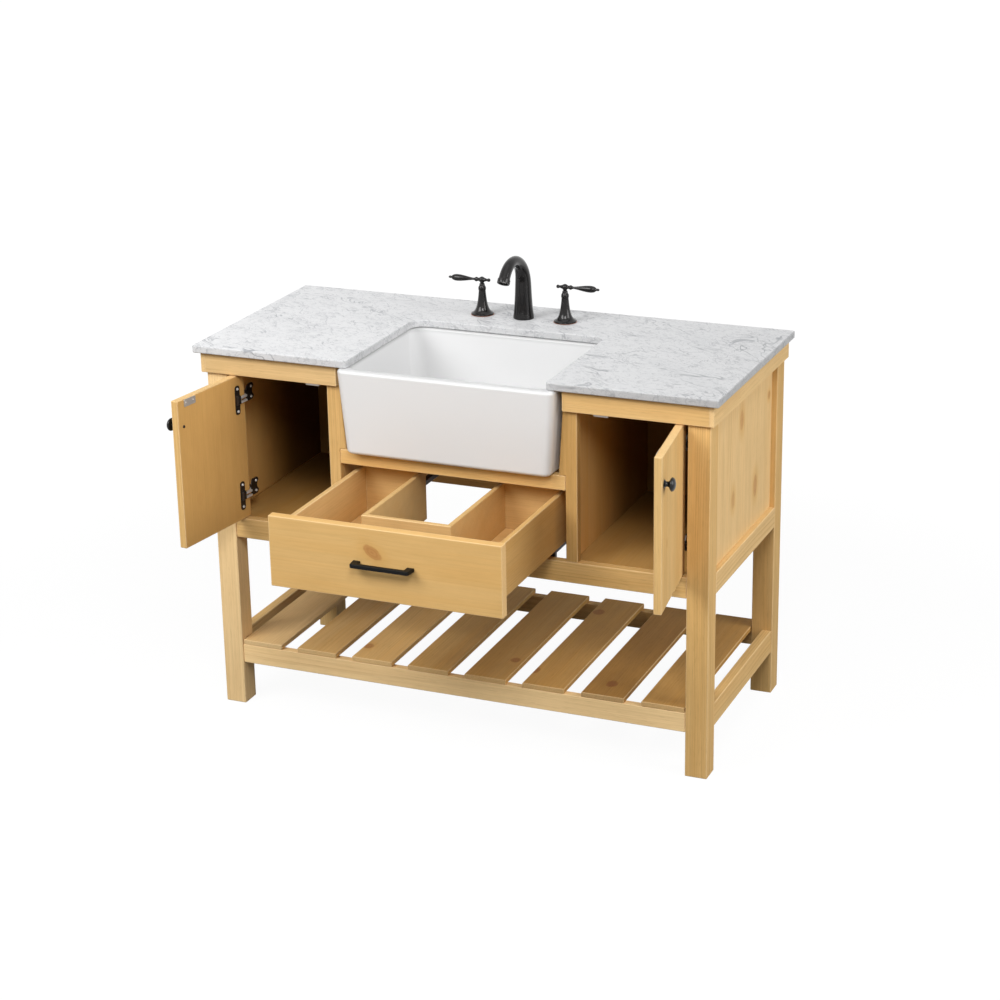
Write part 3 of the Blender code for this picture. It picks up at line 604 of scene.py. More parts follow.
def glazeFinish():
    look = glazeLook
    finish = Finish("whiteGlaze")
    local = finish.place()
    pool = finish.noise(local, 5.0, 3.0)
    peel = finish.noise(local, 130.0, 2.0)
    colour = finish.mix(pool, look["deep"], look["bright"])
    # painted shade: faces turned up are darkened, standing in for their shade, and made rougher; a
    # grey band is painted just under the stone behind the apron, standing in for the shadow the
    # stone casts there
    thin = finish.step(finish.upward(), 0.15, 0.90)
    y, z = finish.split(local)[1:]
    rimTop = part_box("sink_basin")[1].z
    low, high = (rimTop - depth for depth in look["stoneShadowDepth"])
    joint = finish.step(z, low, high) * finish.step(y, *look["stoneShadowFrom"])
    shade = 1.0 - thin * look["thin"] - joint * look["joint"]
    return finish.surface(
        Base_Color=finish.shaded(colour, shade, shade, shade),
        Roughness=look["rough"] + pool * 0.06 + thin * 0.12,
        Normal=finish.bump(peel, 0.008, 0.0003),
    )


metalLooks = {
    "rubbedBronze": {
        "colour": paint(0.013, 0.012, 0.012),
        "wear": paint(0.026, 0.021, 0.019),
        "rough": 0.20,
        "metal": 0.5,
        "dent": 0.02,
        "lacquer": 0.30,
    },
    "rubbedCopper": {
        "colour": paint(0.520, 0.230, 0.150),
        "wear": paint(0.640, 0.330, 0.220),
        "rough": 0.34,
        "metal": 0.9,
    },
    "blackMetal": {
        "colour": paint(0.006, 0.006, 0.006),
        "wear": paint(0.011, 0.010, 0.009),
        "rough": 0.50,
        "metal": 0.55,
    },
    "knobBlack": {
        "colour": paint(0.010, 0.010, 0.010),
        "wear": paint(0.018, 0.016, 0.015),
        "rough": 0.34,
        "metal": 0.55,
        "lacquer": 0.4,
    },
    "hingeBlack": {
        "colour": paint(0.046, 0.036, 0.030),
        "wear": paint(0.100, 0.080, 0.066),
        "rough": 0.34,
        "metal": 0.6,
    },
    "brightSteel": {
        "colour": paint(0.640, 0.625, 0.610),
        "wear": paint(0.740, 0.725, 0.700),
        "rough": 0.34,
        "metal": 0.45,
    },
    "zincPlate": {
        "colour": paint(0.500, 0.480, 0.460),
        "wear": paint(0.620, 0.600, 0.570),
        "rough": 0.38,
        "metal": 0.5,
        "scale": 35.0,
    },
    "darkSteel": {
        "colour": paint(0.045, 0.036, 0.030),
        "wear": paint(0.075, 0.062, 0.052),
        "rough": 0.45,
        "metal": 0.6,
    },
}


def metalFinish(name, colour, wear, rough, metal, scale=60.0, dent=0.06, lacquer=0.0):
    finish = Finish(name)
    local = finish.place()
    cloud = finish.noise(local, scale, 4.0, 0.6)
    fine = finish.noise(local, scale * 14.0, 2.0)
    return finish.surface(
        Base_Color=finish.mix(finish.step(cloud, 0.50, 0.82) * 0.6, colour, wear),
        Roughness=rough + (cloud - 0.5) * 0.10 + (fine - 0.5) * 0.05,
        Normal=finish.bump(fine, dent, 0.0003),
        Metallic=metal,
        Specular_IOR_Level=0.22,
        Coat_Weight=lacquer,
        Coat_Roughness=0.06,
    )


stone = stoneFinish()
glaze = glazeFinish()
metals = {name: metalFinish(name, **look) for name, look in metalLooks.items()}
for side, s in sides:
    dress("slide_rail_" + side, metals["darkSteel"])
    dress("slide_runner_" + side, metals["darkSteel"])
print("finishes made")


# Modelling helpers.
def meshOf(name, shape):
    mesh = bpy.data.meshes.new(name)
    shape.to_mesh(mesh)
    shape.free()
    return mesh


def addRod(shape, around, radius, depth, matrix, top=1.0):
    return bmesh.ops.create_cone(
        shape,
        cap_ends=True,
        segments=around,
        radius1=radius,
        radius2=radius * top,
        depth=depth,
        matrix=matrix,
    )["verts"]


def boxBetween(shape, first, last):
    low = Vector([min(a, b) for a, b in zip(first, last)])
    high = Vector([max(a, b) for a, b in zip(first, last)])
    made = bmesh.ops.create_cube(shape, size=1.0)["verts"]
    bmesh.ops.scale(shape, vec=high - low, verts=made)
    bmesh.ops.translate(shape, vec=(low + high) / 2, verts=made)
    return made


def edgesOf(verts, pick=lambda edge: True):
    chosen = set(verts)
    found = dict.fromkeys(edge for vert in verts for edge in vert.link_edges)
    return [edge for edge in found if all(v in chosen for v in edge.verts) and pick(edge)]


def span(edge, axis):
    return abs(edge.verts[0].co[axis] - edge.verts[1].co[axis])


def ease(shape, geom, offset, segments, affect="EDGES"):
    return bmesh.ops.bevel(
        shape,
        geom=geom,
        offset=offset,
        offset_type="OFFSET",
        segments=segments,
        profile=0.5,
        affect=affect,
        clamp_overlap=True,
        material=-1,
    )


def move(shape, matrix):
    bmesh.ops.transform(shape, matrix=matrix, verts=shape.verts[:])


def middleOf(verts):
    return sum((v.co for v in verts), Vector()) / len(verts)


def newVerts(made):
    return [item for item in made["geom"] if isinstance(item, bmesh.types.BMVert)]


def thicken(shape, faces, vec):
    raised = newVerts(bmesh.ops.extrude_face_region(shape, geom=faces))
    bmesh.ops.translate(shape, vec=vec, verts=raised)


def slab(plan, radii, low, high, arc, arrisArc):
    # a flat outline whose corners are rounded by kind, raised and eased
    shape = bmesh.new()
    outline = [shape.verts.new((x, y, low)) for x, y, kind in plan]
    shape.faces.new(outline)
    for kind in dict.fromkeys(row[2] for row in plan if row[2]):
        corners = [v for v, row in zip(outline, plan) if row[2] == kind]
        ease(shape, corners, radii[kind], arc, "VERTICES")
    bmesh.ops.recalc_face_normals(shape, faces=shape.faces[:])
    thicken(shape, shape.faces[:], (0, 0, high - low))
    level = [edge for edge in shape.edges if span(edge, 2) < 1e-6]
    ease(shape, level, radii["arris"], arrisArc)
    return shape


def lathe(profile, steps):
    shape = bmesh.new()
    last = shape.verts.new((profile[0][0], 0.0, profile[0][1]))
    for radius, height in profile[1:]:
        last = bmesh.ops.extrude_vert_indiv(shape, verts=[last])["verts"][0]
        last.co = (radius, 0.0, height)
    bmesh.ops.spin(
        shape,
        geom=shape.verts[:] + shape.edges[:],
        cent=(0, 0, 0),
        axis=(0, 0, 1),
        dvec=(0, 0, 0),
        angle=2 * math.pi,
        steps=steps,
        use_merge=True,
    )
    bmesh.ops.remove_doubles(shape, verts=shape.verts[:], dist=1e-6)
    return shape


def pull(shape, ring):
    verts = newVerts(bmesh.ops.extrude_edge_only(shape, edges=ring))
    return verts, edgesOf(verts)


def stepRings(shape, ringEdges, size, axisY, rings):
    # carries a round skin along an upright axis through rings of radius and height
    for radius, z in rings:
        ring, ringEdges = pull(shape, ringEdges)
        space = Matrix.Translation((0, -axisY, 0))
        bmesh.ops.scale(shape, vec=(radius / size, radius / size, 1), space=space, verts=ring)
        for vert in ring:
            vert.co.z = z
        size = radius
    return ringEdges


# lengths are shares of the head's radius
screw = {
    "around": 20,
    "depth": 0.55,
    "top": 0.78,
    "socketIn": 0.36,
    "socketWall": 0.04,
    "socket": 0.30,
}


def screwHead(shape, place, facing, radius):
    out = Vector(facing)
    turn = Vector((0, 0, 1)).rotation_difference(out).to_matrix().to_4x4()
    depth = radius * screw["depth"]
    seat = Matrix.Translation(place) @ turn @ Matrix.Translation((0, 0, depth / 2))
    made = addRod(shape, screw["around"], radius, depth, seat, screw["top"])
    faces = dict.fromkeys(face for vert in made for face in vert.link_faces)
    ends = [face for face in faces if len(face.verts) == screw["around"]]
    top = max(ends, key=lambda face: face.calc_center_median() @ out)
    bmesh.ops.inset_region(shape, faces=[top], thickness=radius * screw["socketIn"], depth=0.0)
    bmesh.ops.inset_region(
        shape, faces=[top], thickness=radius * screw["socketWall"], depth=-radius * screw["socket"]
    )


def finishPiece(name, shape, material, body, smooth=40.0, rounds=0):
    bmesh.ops.recalc_face_normals(shape, faces=shape.faces[:])
    mesh = meshOf(name, shape)
    made = addObject(name, mesh)
    mesh.materials.append(material)
    for face in mesh.polygons:
        face.use_smooth = True
    if rounds:
        layer = made.modifiers.new("rounding", "SUBSURF")
        layer.levels = rounds
        layer.render_levels = rounds
    else:
        mesh.set_sharp_from_angle(angle=math.radians(smooth))
        layer = made.modifiers.new("flats", "WEIGHTED_NORMAL")
        layer.keep_sharp = True
    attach(made, body)
    return made


# Stone top, open at the front round the basin, with three tap holes.
stoneTop = {
    "corner": 0.004,
    "lip": 0.008,
    "inner": 0.030,
    "arris": 0.0028,
    "cutHalf": 0.231,
    "cutBack": 0.258,
    "tapHole": 0.0135,
    "drill": 0.06,
    "around": 32,
}
low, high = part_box("countertop")
cut, deep = stoneTop["cutHalf"], stoneTop["cutBack"]
plan = (
    (low.x, low.y, "corner"),
    (-cut, low.y, "lip"),
    (-cut, deep, "inner"),
    (cut, deep, "inner"),
    (cut, low.y, "lip"),
    (high.x, low.y, "corner"),
    (high.x, high.y, "corner"),
    (low.x, high.y, "corner"),
)
shape = slab(plan, stoneTop, low.z, high.z, 6, 4)
top = finishPiece("stoneTop", shape, stone, "carcass", 60.0)
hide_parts("countertop")
tapLine = (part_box("valve_base_left")[0].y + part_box("valve_base_left")[1].y) / 2
tapSpread = (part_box("valve_base_right")[0].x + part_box("valve_base_right")[1].x) / 2
drillShape = bmesh.new()
for x in (-tapSpread, 0.0, tapSpread):
    where = Matrix.Translation((x, tapLine, high.z))
    addRod(drillShape, stoneTop["around"], stoneTop["tapHole"], stoneTop["drill"], where)
drill = addObject("tapDrill", meshOf("tapDrill", drillShape))
bore = top.modifiers.new("tapHoles", "BOOLEAN")
bore.operation = "DIFFERENCE"
bore.solver = "EXACT"
bore.object = drill
top.modifiers.move(1, 0)
bpy.context.view_layer.update()
ready = bpy.context.evaluated_depsgraph_get()
bored = bpy.data.meshes.new_from_object(top.evaluated_get(ready))
top.modifiers.clear()
top.data = bored
bpy.data.objects.remove(drill)
flats = top.modifiers.new("flats", "WEIGHTED_NORMAL")
flats.keep_sharp = True
print("stone top cut")


# Apron-front basin: outer shell, bowl, rim and waste seat are bridged into one skin.
basin = {
    "topHalf": 0.2525,
    "lowHalf": 0.2395,
    "apronTop": -0.1160,
    "apronLow": -0.1060,
    "back": 0.2820,
    "cornerFront": 0.018,
    "cornerBack": 0.020,
    "heel": 0.009,
    "rim": 0.0100,
    "bowlHalf": 0.2370,
    "bowlFront": -0.0910,
    "bowlBack": 0.2580,
    "bowlCorner": 0.032,
    "draft": 0.006,
    "floor": 0.6790,
    "fillet": 0.029,
    "drainY": 0.0835,
    "drainSlope": 0.052,
    "drainSeat": 0.044,
    "drainHole": 0.0225,
    "drainClear": 0.15,
    "dip": 0.004,
    "arc": 8,
}
low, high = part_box("sink_basin")
shape = bmesh.new()


def upright(edge):
    return span(edge, 2) > 0.05


def loopAt(verts, z):
    return edgesOf([v for v in verts if abs(v.co.z - z) < 1e-5], lambda e: not upright(e))


shell = boxBetween(shape, (-1, 0, low.z), (1, 1, high.z))
for vert in shell:
    atTop = vert.co.z > (low.z + high.z) / 2
    width = basin["topHalf"] if atTop else basin["lowHalf"]
    apron = basin["apronTop"] if atTop else basin["apronLow"]
    vert.co.y = basin["back"] if vert.co.y > 0.5 else apron
    vert.co.x = math.copysign(width, vert.co.x)
posts = edgesOf(shell, upright)
front = [edge for edge in posts if edge.verts[0].co.y < 0.0]
rear = [edge for edge in posts if edge.verts[0].co.y > 0.0]
ease(shape, front, basin["cornerFront"], basin["arc"])
ease(shape, rear, basin["cornerBack"], basin["arc"])
shellVerts = set(shape.verts)
bowl = boxBetween(shape, (-1, 0, basin["floor"]), (1, 1, high.z))
for vert in bowl:
    lean = 0.0 if vert.co.z > (low.z + high.z) / 2 else basin["draft"]
    vert.co.y = basin["bowlBack"] - lean if vert.co.y > 0.5 else basin["bowlFront"] + lean
    vert.co.x = math.copysign(basin["bowlHalf"] - lean, vert.co.x)
ease(shape, edgesOf(bowl, upright), basin["bowlCorner"], basin["arc"])
bowlVerts = [v for v in shape.verts if v not in shellVerts]
ease(shape, loopAt(bowlVerts, basin["floor"]), basin["fillet"], basin["arc"])
caps = [face for face in shape.faces if len(face.verts) > 20]
bmesh.ops.delete(shape, geom=caps, context="FACES")


def boundaryNear(z, inner):
    found = []
    for edge in shape.edges:
        if not edge.is_boundary:
            continue
        level = (edge.verts[0].co.z + edge.verts[1].co.z) / 2
        within = all(v not in shellVerts for v in edge.verts)
        if abs(level - z) < 1e-4 and within == inner:
            found.append(edge)
    return found


def ringOrder(edges):
    verts = list(dict.fromkeys(v for edge in edges for v in edge.verts))
    midX = (min(v.co.x for v in verts) + max(v.co.x for v in verts)) / 2
    midY = (min(v.co.y for v in verts) + max(v.co.y for v in verts)) / 2
    return sorted(verts, key=lambda v: math.atan2(v.co.y - midY, v.co.x - midX))


def weld(loop, target):
    # carries a skin from one ring to another with as many corners
    goal = [v.co.copy() for v in ringOrder(target)]
    for vert, place in zip(ringOrder(pull(shape, loop)[1]), goal):
        vert.co = place
    bmesh.ops.remove_doubles(shape, verts=shape.verts[:], dist=1e-6)


rimOuter = boundaryNear(high.z, False)
rimInner = boundaryNear(high.z, True)
heel = boundaryNear(low.z, False)
ring, ringEdges = pull(shape, boundaryNear(basin["floor"], True))
for k, vert in enumerate(ringOrder(ringEdges)):
    turn = (k + 0.5) * 2 * math.pi / len(ring) - math.pi
    out = Vector((math.cos(turn), math.sin(turn), 0)) * basin["drainSlope"]
    vert.co = Vector((0, basin["drainY"], basin["floor"] - basin["dip"] * 0.4)) + out
seatLevel = basin["floor"] - basin["dip"]
drain = (
    (basin["drainSeat"], seatLevel),
    (basin["drainHole"], seatLevel),
    (basin["drainHole"], low.z),
)
ringEdges = stepRings(shape, ringEdges, basin["drainSlope"], basin["drainY"], drain)
weld(heel, ringEdges)
weld(rimOuter, rimInner)
bmesh.ops.recalc_face_normals(shape, faces=shape.faces[:])


def creases(z):
    flat = [e for e in shape.edges if all(abs(v.co.z - z) < 1e-5 for v in e.verts)]
    return [e for e in flat if e.calc_face_angle(0.0) > 1.0]


def clearOfDrain(edge):
    return abs(edge.verts[0].co.x) + abs(edge.verts[0].co.y) > basin["drainClear"]


rimEdges = creases(high.z)
heelEdges = [edge for edge in creases(low.z) if clearOfDrain(edge)]
ease(shape, heelEdges, basin["heel"], 5)
ease(shape, rimEdges, basin["rim"], 5)
sink = finishPiece("apronBasin", shape, glaze, "carcass", 50.0)
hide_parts("sink_basin")
print("basin formed")


# Tap set: a swept spout, two trumpet valves and two lever handles.
taps = {
    "deck": 0.8653,
    "line": tapLine,
    "spread": tapSpread,
    "shank": 0.0115,
    "shankLow": 0.812,
    "seam": 0.0012,
    "foot": 0.024,
    "rise": 0.085,
    "bend": 0.060,
    "sweep": 145.0,
    "steps": 14,
    "mouth": 0.0145,
    "throat": 0.80,
    "narrowBy": 0.62,
    "flare": 0.08,
    "around": 24,
    # shares of the foot's radius, by height over the deck and by share of the rise
    "footRings": ((0.0, 0.94), (0.0004, 0.985), (0.0030, 1.00)),
    "neckRings": ((0.10, 0.955), (0.24, 0.90), (0.45, 0.85), (0.69, 0.80), (1.00, 0.76)),
    # shares of the mouth's radius, by distance past the bend
    "outlet": (
        (0.0026, 0.93),
        (0.0030, 0.935),
        (0.0031, 0.99),
        (0.0036, 1.00),
        (0.0126, 1.00),
        (0.0130, 0.98),
        (0.0130, 0.78),
        (0.0126, 0.74),
        (0.0062, 0.73),
        (0.0060, 0.70),
    ),
}
roundness = 1.0 / (2.0 / 3.0 + math.cos(2 * math.pi / taps["around"]) / 3.0)


def turned(profile):
    return lathe([(radius * roundness, z) for radius, z in profile], taps["around"])


def scaleRing(shape, ring, share):
    space = Matrix.Translation(-middleOf(ring))
    bmesh.ops.scale(shape, vec=(share, share, share), space=space, verts=ring)


shape = bmesh.new()
ring = bmesh.ops.create_circle(
    shape,
    cap_ends=True,
    segments=taps["around"],
    radius=taps["shank"] * roundness,
    matrix=Matrix.Translation((0, taps["line"], taps["shankLow"])),
)["verts"]
deck = taps["deck"]
bendAt = deck + taps["rise"]
stations = [(taps["shank"], deck - taps["seam"]), (taps["shank"], deck)]
stations += [(taps["foot"] * share, deck + rise) for rise, share in taps["footRings"]]
stations += [(taps["foot"] * share, deck + taps["rise"] * rise) for rise, share in taps["neckRings"]]
ringEdges = stepRings(shape, edgesOf(ring), taps["shank"], taps["line"], stations)
neck, throat = stations[-1][0], taps["mouth"] * taps["throat"]
size = neck
hub = Vector((0, taps["line"] - taps["bend"], bendAt))
sweep = math.radians(taps["sweep"])
stepTurn = Matrix.Rotation(sweep / taps["steps"], 3, "X")
narrowBy = taps["narrowBy"]
for k in range(1, taps["steps"] + 1):
    share = k / taps["steps"]
    radius = neck + (throat - neck) * min(share / narrowBy, 1.0)
    radius += taps["mouth"] * taps["flare"] * max(share - narrowBy, 0.0) / (1.0 - narrowBy)
    ring, ringEdges = pull(shape, ringEdges)
    bmesh.ops.rotate(shape, cent=hub, matrix=stepTurn, verts=ring)
    scaleRing(shape, ring, radius / size)
    size = radius
ahead = Vector((0, -math.sin(sweep), math.cos(sweep)))
reached = 0.0
for run, share in taps["outlet"]:
    ring, ringEdges = pull(shape, ringEdges)
    bmesh.ops.translate(shape, vec=ahead * (run - reached), verts=ring)
    reached = run
    radius = taps["mouth"] * share
    scaleRing(shape, ring, radius / size)
    size = radius
bmesh.ops.edgeloop_fill(shape, edges=ringEdges)
outlet = middleOf(ring)
spout = finishPiece("spoutTube", shape, metals["rubbedBronze"], "carcass", rounds=2)
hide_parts("spout")

# the aerator is a small stepped insert up inside the outlet
aerator = {
    "around": 32,
    "out": 0.0006,
    "profile": (
        (0.0, 0.0),
        (0.0094, 0.0),
        (0.0098, 0.0004),
        (0.0098, 0.0016),
        (0.0080, 0.0020),
        (0.0074, 0.0012),
        (0.0052, 0.0012),
        (0.0048, 0.0018),
        (0.0026, 0.0018),
        (0.0022, 0.0012),
        (0.0, 0.0012),
    ),
}
shape = lathe(aerator["profile"], aerator["around"])
turn = Vector((0, 0, 1)).rotation_difference(ahead).to_matrix().to_4x4()
move(shape, Matrix.Translation(outlet + ahead * aerator["out"]) @ turn)
finishPiece("spoutAerator", shape, metals["brightSteel"], "carcass", 30.0)

valve = {
    "profile": (
        (0.0, -0.0533),
        (0.0115, -0.0533),
        (0.0115, -0.0003),
        (0.0115, 0.0012),
        (0.0240, 0.0012),
        (0.0255, 0.0014),
        (0.0265, 0.0022),
        (0.0263, 0.0034),
        (0.0252, 0.0042),
        (0.0226, 0.0054),
        (0.0184, 0.0084),
        (0.0146, 0.0148),
        (0.0120, 0.0236),
        (0.0103, 0.0340),
        (0.0090, 0.0450),
        (0.0081, 0.0550),
        (0.0080, 0.0566),
        (0.0087, 0.0572),
        (0.0089, 0.0594),
        (0.0089, 0.0622),
        (0.0086, 0.0644),
        (0.0079, 0.0650),
        (0.0070, 0.0664),
        (0.0062, 0.0690),
        (0.0060, 0.0733),
        (0.0, 0.0733),
    ),
    "seatAround": 48,
    "seat": (
        (0.0120, 0.0),
        (0.0262, 0.0),
        (0.0268, 0.0005),
        (0.0262, 0.0011),
        (0.0120, 0.0011),
        (0.0120, 0.0),
    ),
}
lever = {
    "height": 0.0811,
    "profile": (
        (0.0, -0.0207),
        (0.0022, -0.0204),
        (0.0039, -0.0186),
        (0.0042, -0.0165),
        (0.0036, -0.0143),
        (0.0026, -0.0130),
        (0.0028, -0.0122),
        (0.0044, -0.0060),
        (0.0066, -0.0032),
        (0.0073, 0.0),
        (0.0066, 0.0032),
        (0.0044, 0.0060),
        (0.0036, 0.0086),
        (0.0040, 0.0104),
        (0.0053, 0.0126),
        (0.0054, 0.0150),
        (0.0041, 0.0168),
        (0.0027, 0.0192),
        (0.0026, 0.0214),
        (0.0033, 0.0276),
        (0.0052, 0.0380),
        (0.0069, 0.0480),
        (0.0079, 0.0580),
        (0.0078, 0.0650),
        (0.0064, 0.0712),
        (0.0040, 0.0742),
        (0.0028, 0.0752),
        (0.0026, 0.0764),
        (0.0031, 0.0784),
        (0.0027, 0.0812),
        (0.0014, 0.0827),
        (0.0, 0.0830),
    ),
    "stem": ((0.0, -0.0073), (0.0052, -0.0073), (0.0052, -0.0040), (0.0050, 0.0), (0.0, 0.0)),
}
for side, s in sides:
    where = Vector((s * taps["spread"], taps["line"], deck))
    shape = turned(valve["profile"])
    move(shape, Matrix.Translation(where))
    body = finishPiece(
        "valveTrumpet." + side, shape, metals["rubbedBronze"], "carcass", rounds=2
    )
    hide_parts("valve_base_" + side)
    shape = lathe(valve["seat"], valve["seatAround"])
    move(shape, Matrix.Translation(where))
    finishPiece("valveSeat." + side, shape, metals["rubbedCopper"], "carcass", 60.0)
    shape = turned(lever["profile"])
    move(shape, Matrix.Rotation(s * math.pi / 2, 4, "Y"))
    stemMesh = meshOf("stem", turned(lever["stem"]))
    shape.from_mesh(stemMesh)
    bpy.data.meshes.remove(stemMesh)
    move(shape, Matrix.Translation(where + Vector((0, 0, lever["height"]))))
    handle = finishPiece(
        "leverHandle." + side, shape, metals["rubbedBronze"], side + "_lever", rounds=2
    )
    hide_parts("lever_" + side)
print("tap set turned")


# Door furniture, laid out on the shut door and swung open with it: u runs from the hinge edge
# towards the free edge, v from the inner face into the cupboard.
doorLayout = {
    "edge": 0.015,
    "innerFace": 0.0105,
    "outerFace": -0.0065,
    "width": 0.241,
    "hingeHeights": {"upper": 0.743, "lower": 0.5185},
}
doorKnob = {
    "in": 0.018,
    "height": 0.7385,
    "screw": 0.0036,
    "profile": (
        (0.0, 0.0003),
        (0.0086, 0.0003),
        (0.0090, 0.0008),
        (0.0088, 0.0016),
        (0.0066, 0.0026),
        (0.0056, 0.0044),
        (0.0052, 0.0074),
        (0.0058, 0.0096),
        (0.0088, 0.0118),
        (0.0128, 0.0138),
        (0.0142, 0.0152),
        (0.0145, 0.0166),
        (0.0141, 0.0182),
        (0.0120, 0.0208),
        (0.0078, 0.0230),
        (0.0030, 0.0239),
        (0.0, 0.0240),
    ),
}
strike = {
    "in": (0.178, 0.218),
    "up": (0.7805, 0.7975),
    "thick": 0.0011,
    "corner": 0.003,
    "arris": 0.0004,
    "screw": 0.0030,
    "screwIn": 0.007,
    "screwSunk": 0.0004,
}
flange = {
    "in": (0.0200, 0.0365),
    "half": 0.0335,
    "thick": 0.0014,
    "corner": 0.0065,
    "screw": 0.0034,
    "screwIn": 0.02815,
    "screwUp": 0.026,
}
boss = {
    "in": (0.0202, 0.0345),
    "half": 0.0125,
    "up": (0.0007, 0.0068),
    "taper": (0.8, 1, 0.7),
    "arris": 0.0012,
}
link = {
    "in": (0.0006, 0.0215),
    "up": (0.0022, 0.0078),
    "half": (0.0028, 0.0074),
    "arris": 0.0006,
}
hanger = {
    "legFace": 0.5367,
    "frontFace": -0.080,
    "thick": 0.004,
    "half": 0.0025,
    "reach": 0.034,
    "turn": 0.006,
    "arris": 0.0007,
    "eye": (0.0035, 0.005),
    "pin": (0.0015, 0.013),
    "rodAround": 24,
    "rodArris": 0.0004,
}
mount = {
    "thick": 0.0025,
    "half": 0.019,
    "near": 0.0315,
    "far": 0.0555,
    "corner": 0.007,
    "saddle": (0.034, 0.0535),
    "saddleHalf": 0.0065,
    "saddleBite": 0.001,
    "saddleArris": 0.0014,
    "wingFace": 0.5195,
    "wingThick": 0.003,
    "wingCorner": 0.0026,
    # depth behind the front and half height, from the waist to the notched end
    "wing": (
        (0.0300, 0.0065),
        (0.0450, 0.0065),
        (0.0520, 0.0190),
        (0.0740, 0.0190),
        (0.0800, 0.01178),
        (0.0720, 0.00418),
    ),
    "screw": 0.0034,
    "screwAt": (0.0670, 0.01178),
}
catch = {
    "across": (0.321, 0.354),
    "depth": (0.0224, 0.0360),
    "up": (0.7865, 0.8005),
    "arris": 0.0012,
    "tabIn": 0.004,
    "tabDepth": (0.0222, 0.0236),
    "tabUp": (0.7975, 0.828),
    "tabArris": 0.0005,
    "screw": 0.0030,
    "screwIn": 0.010,
    "screwUp": 0.818,
}


def throughDoor(edge):
    return span(edge, 1) > 5e-4


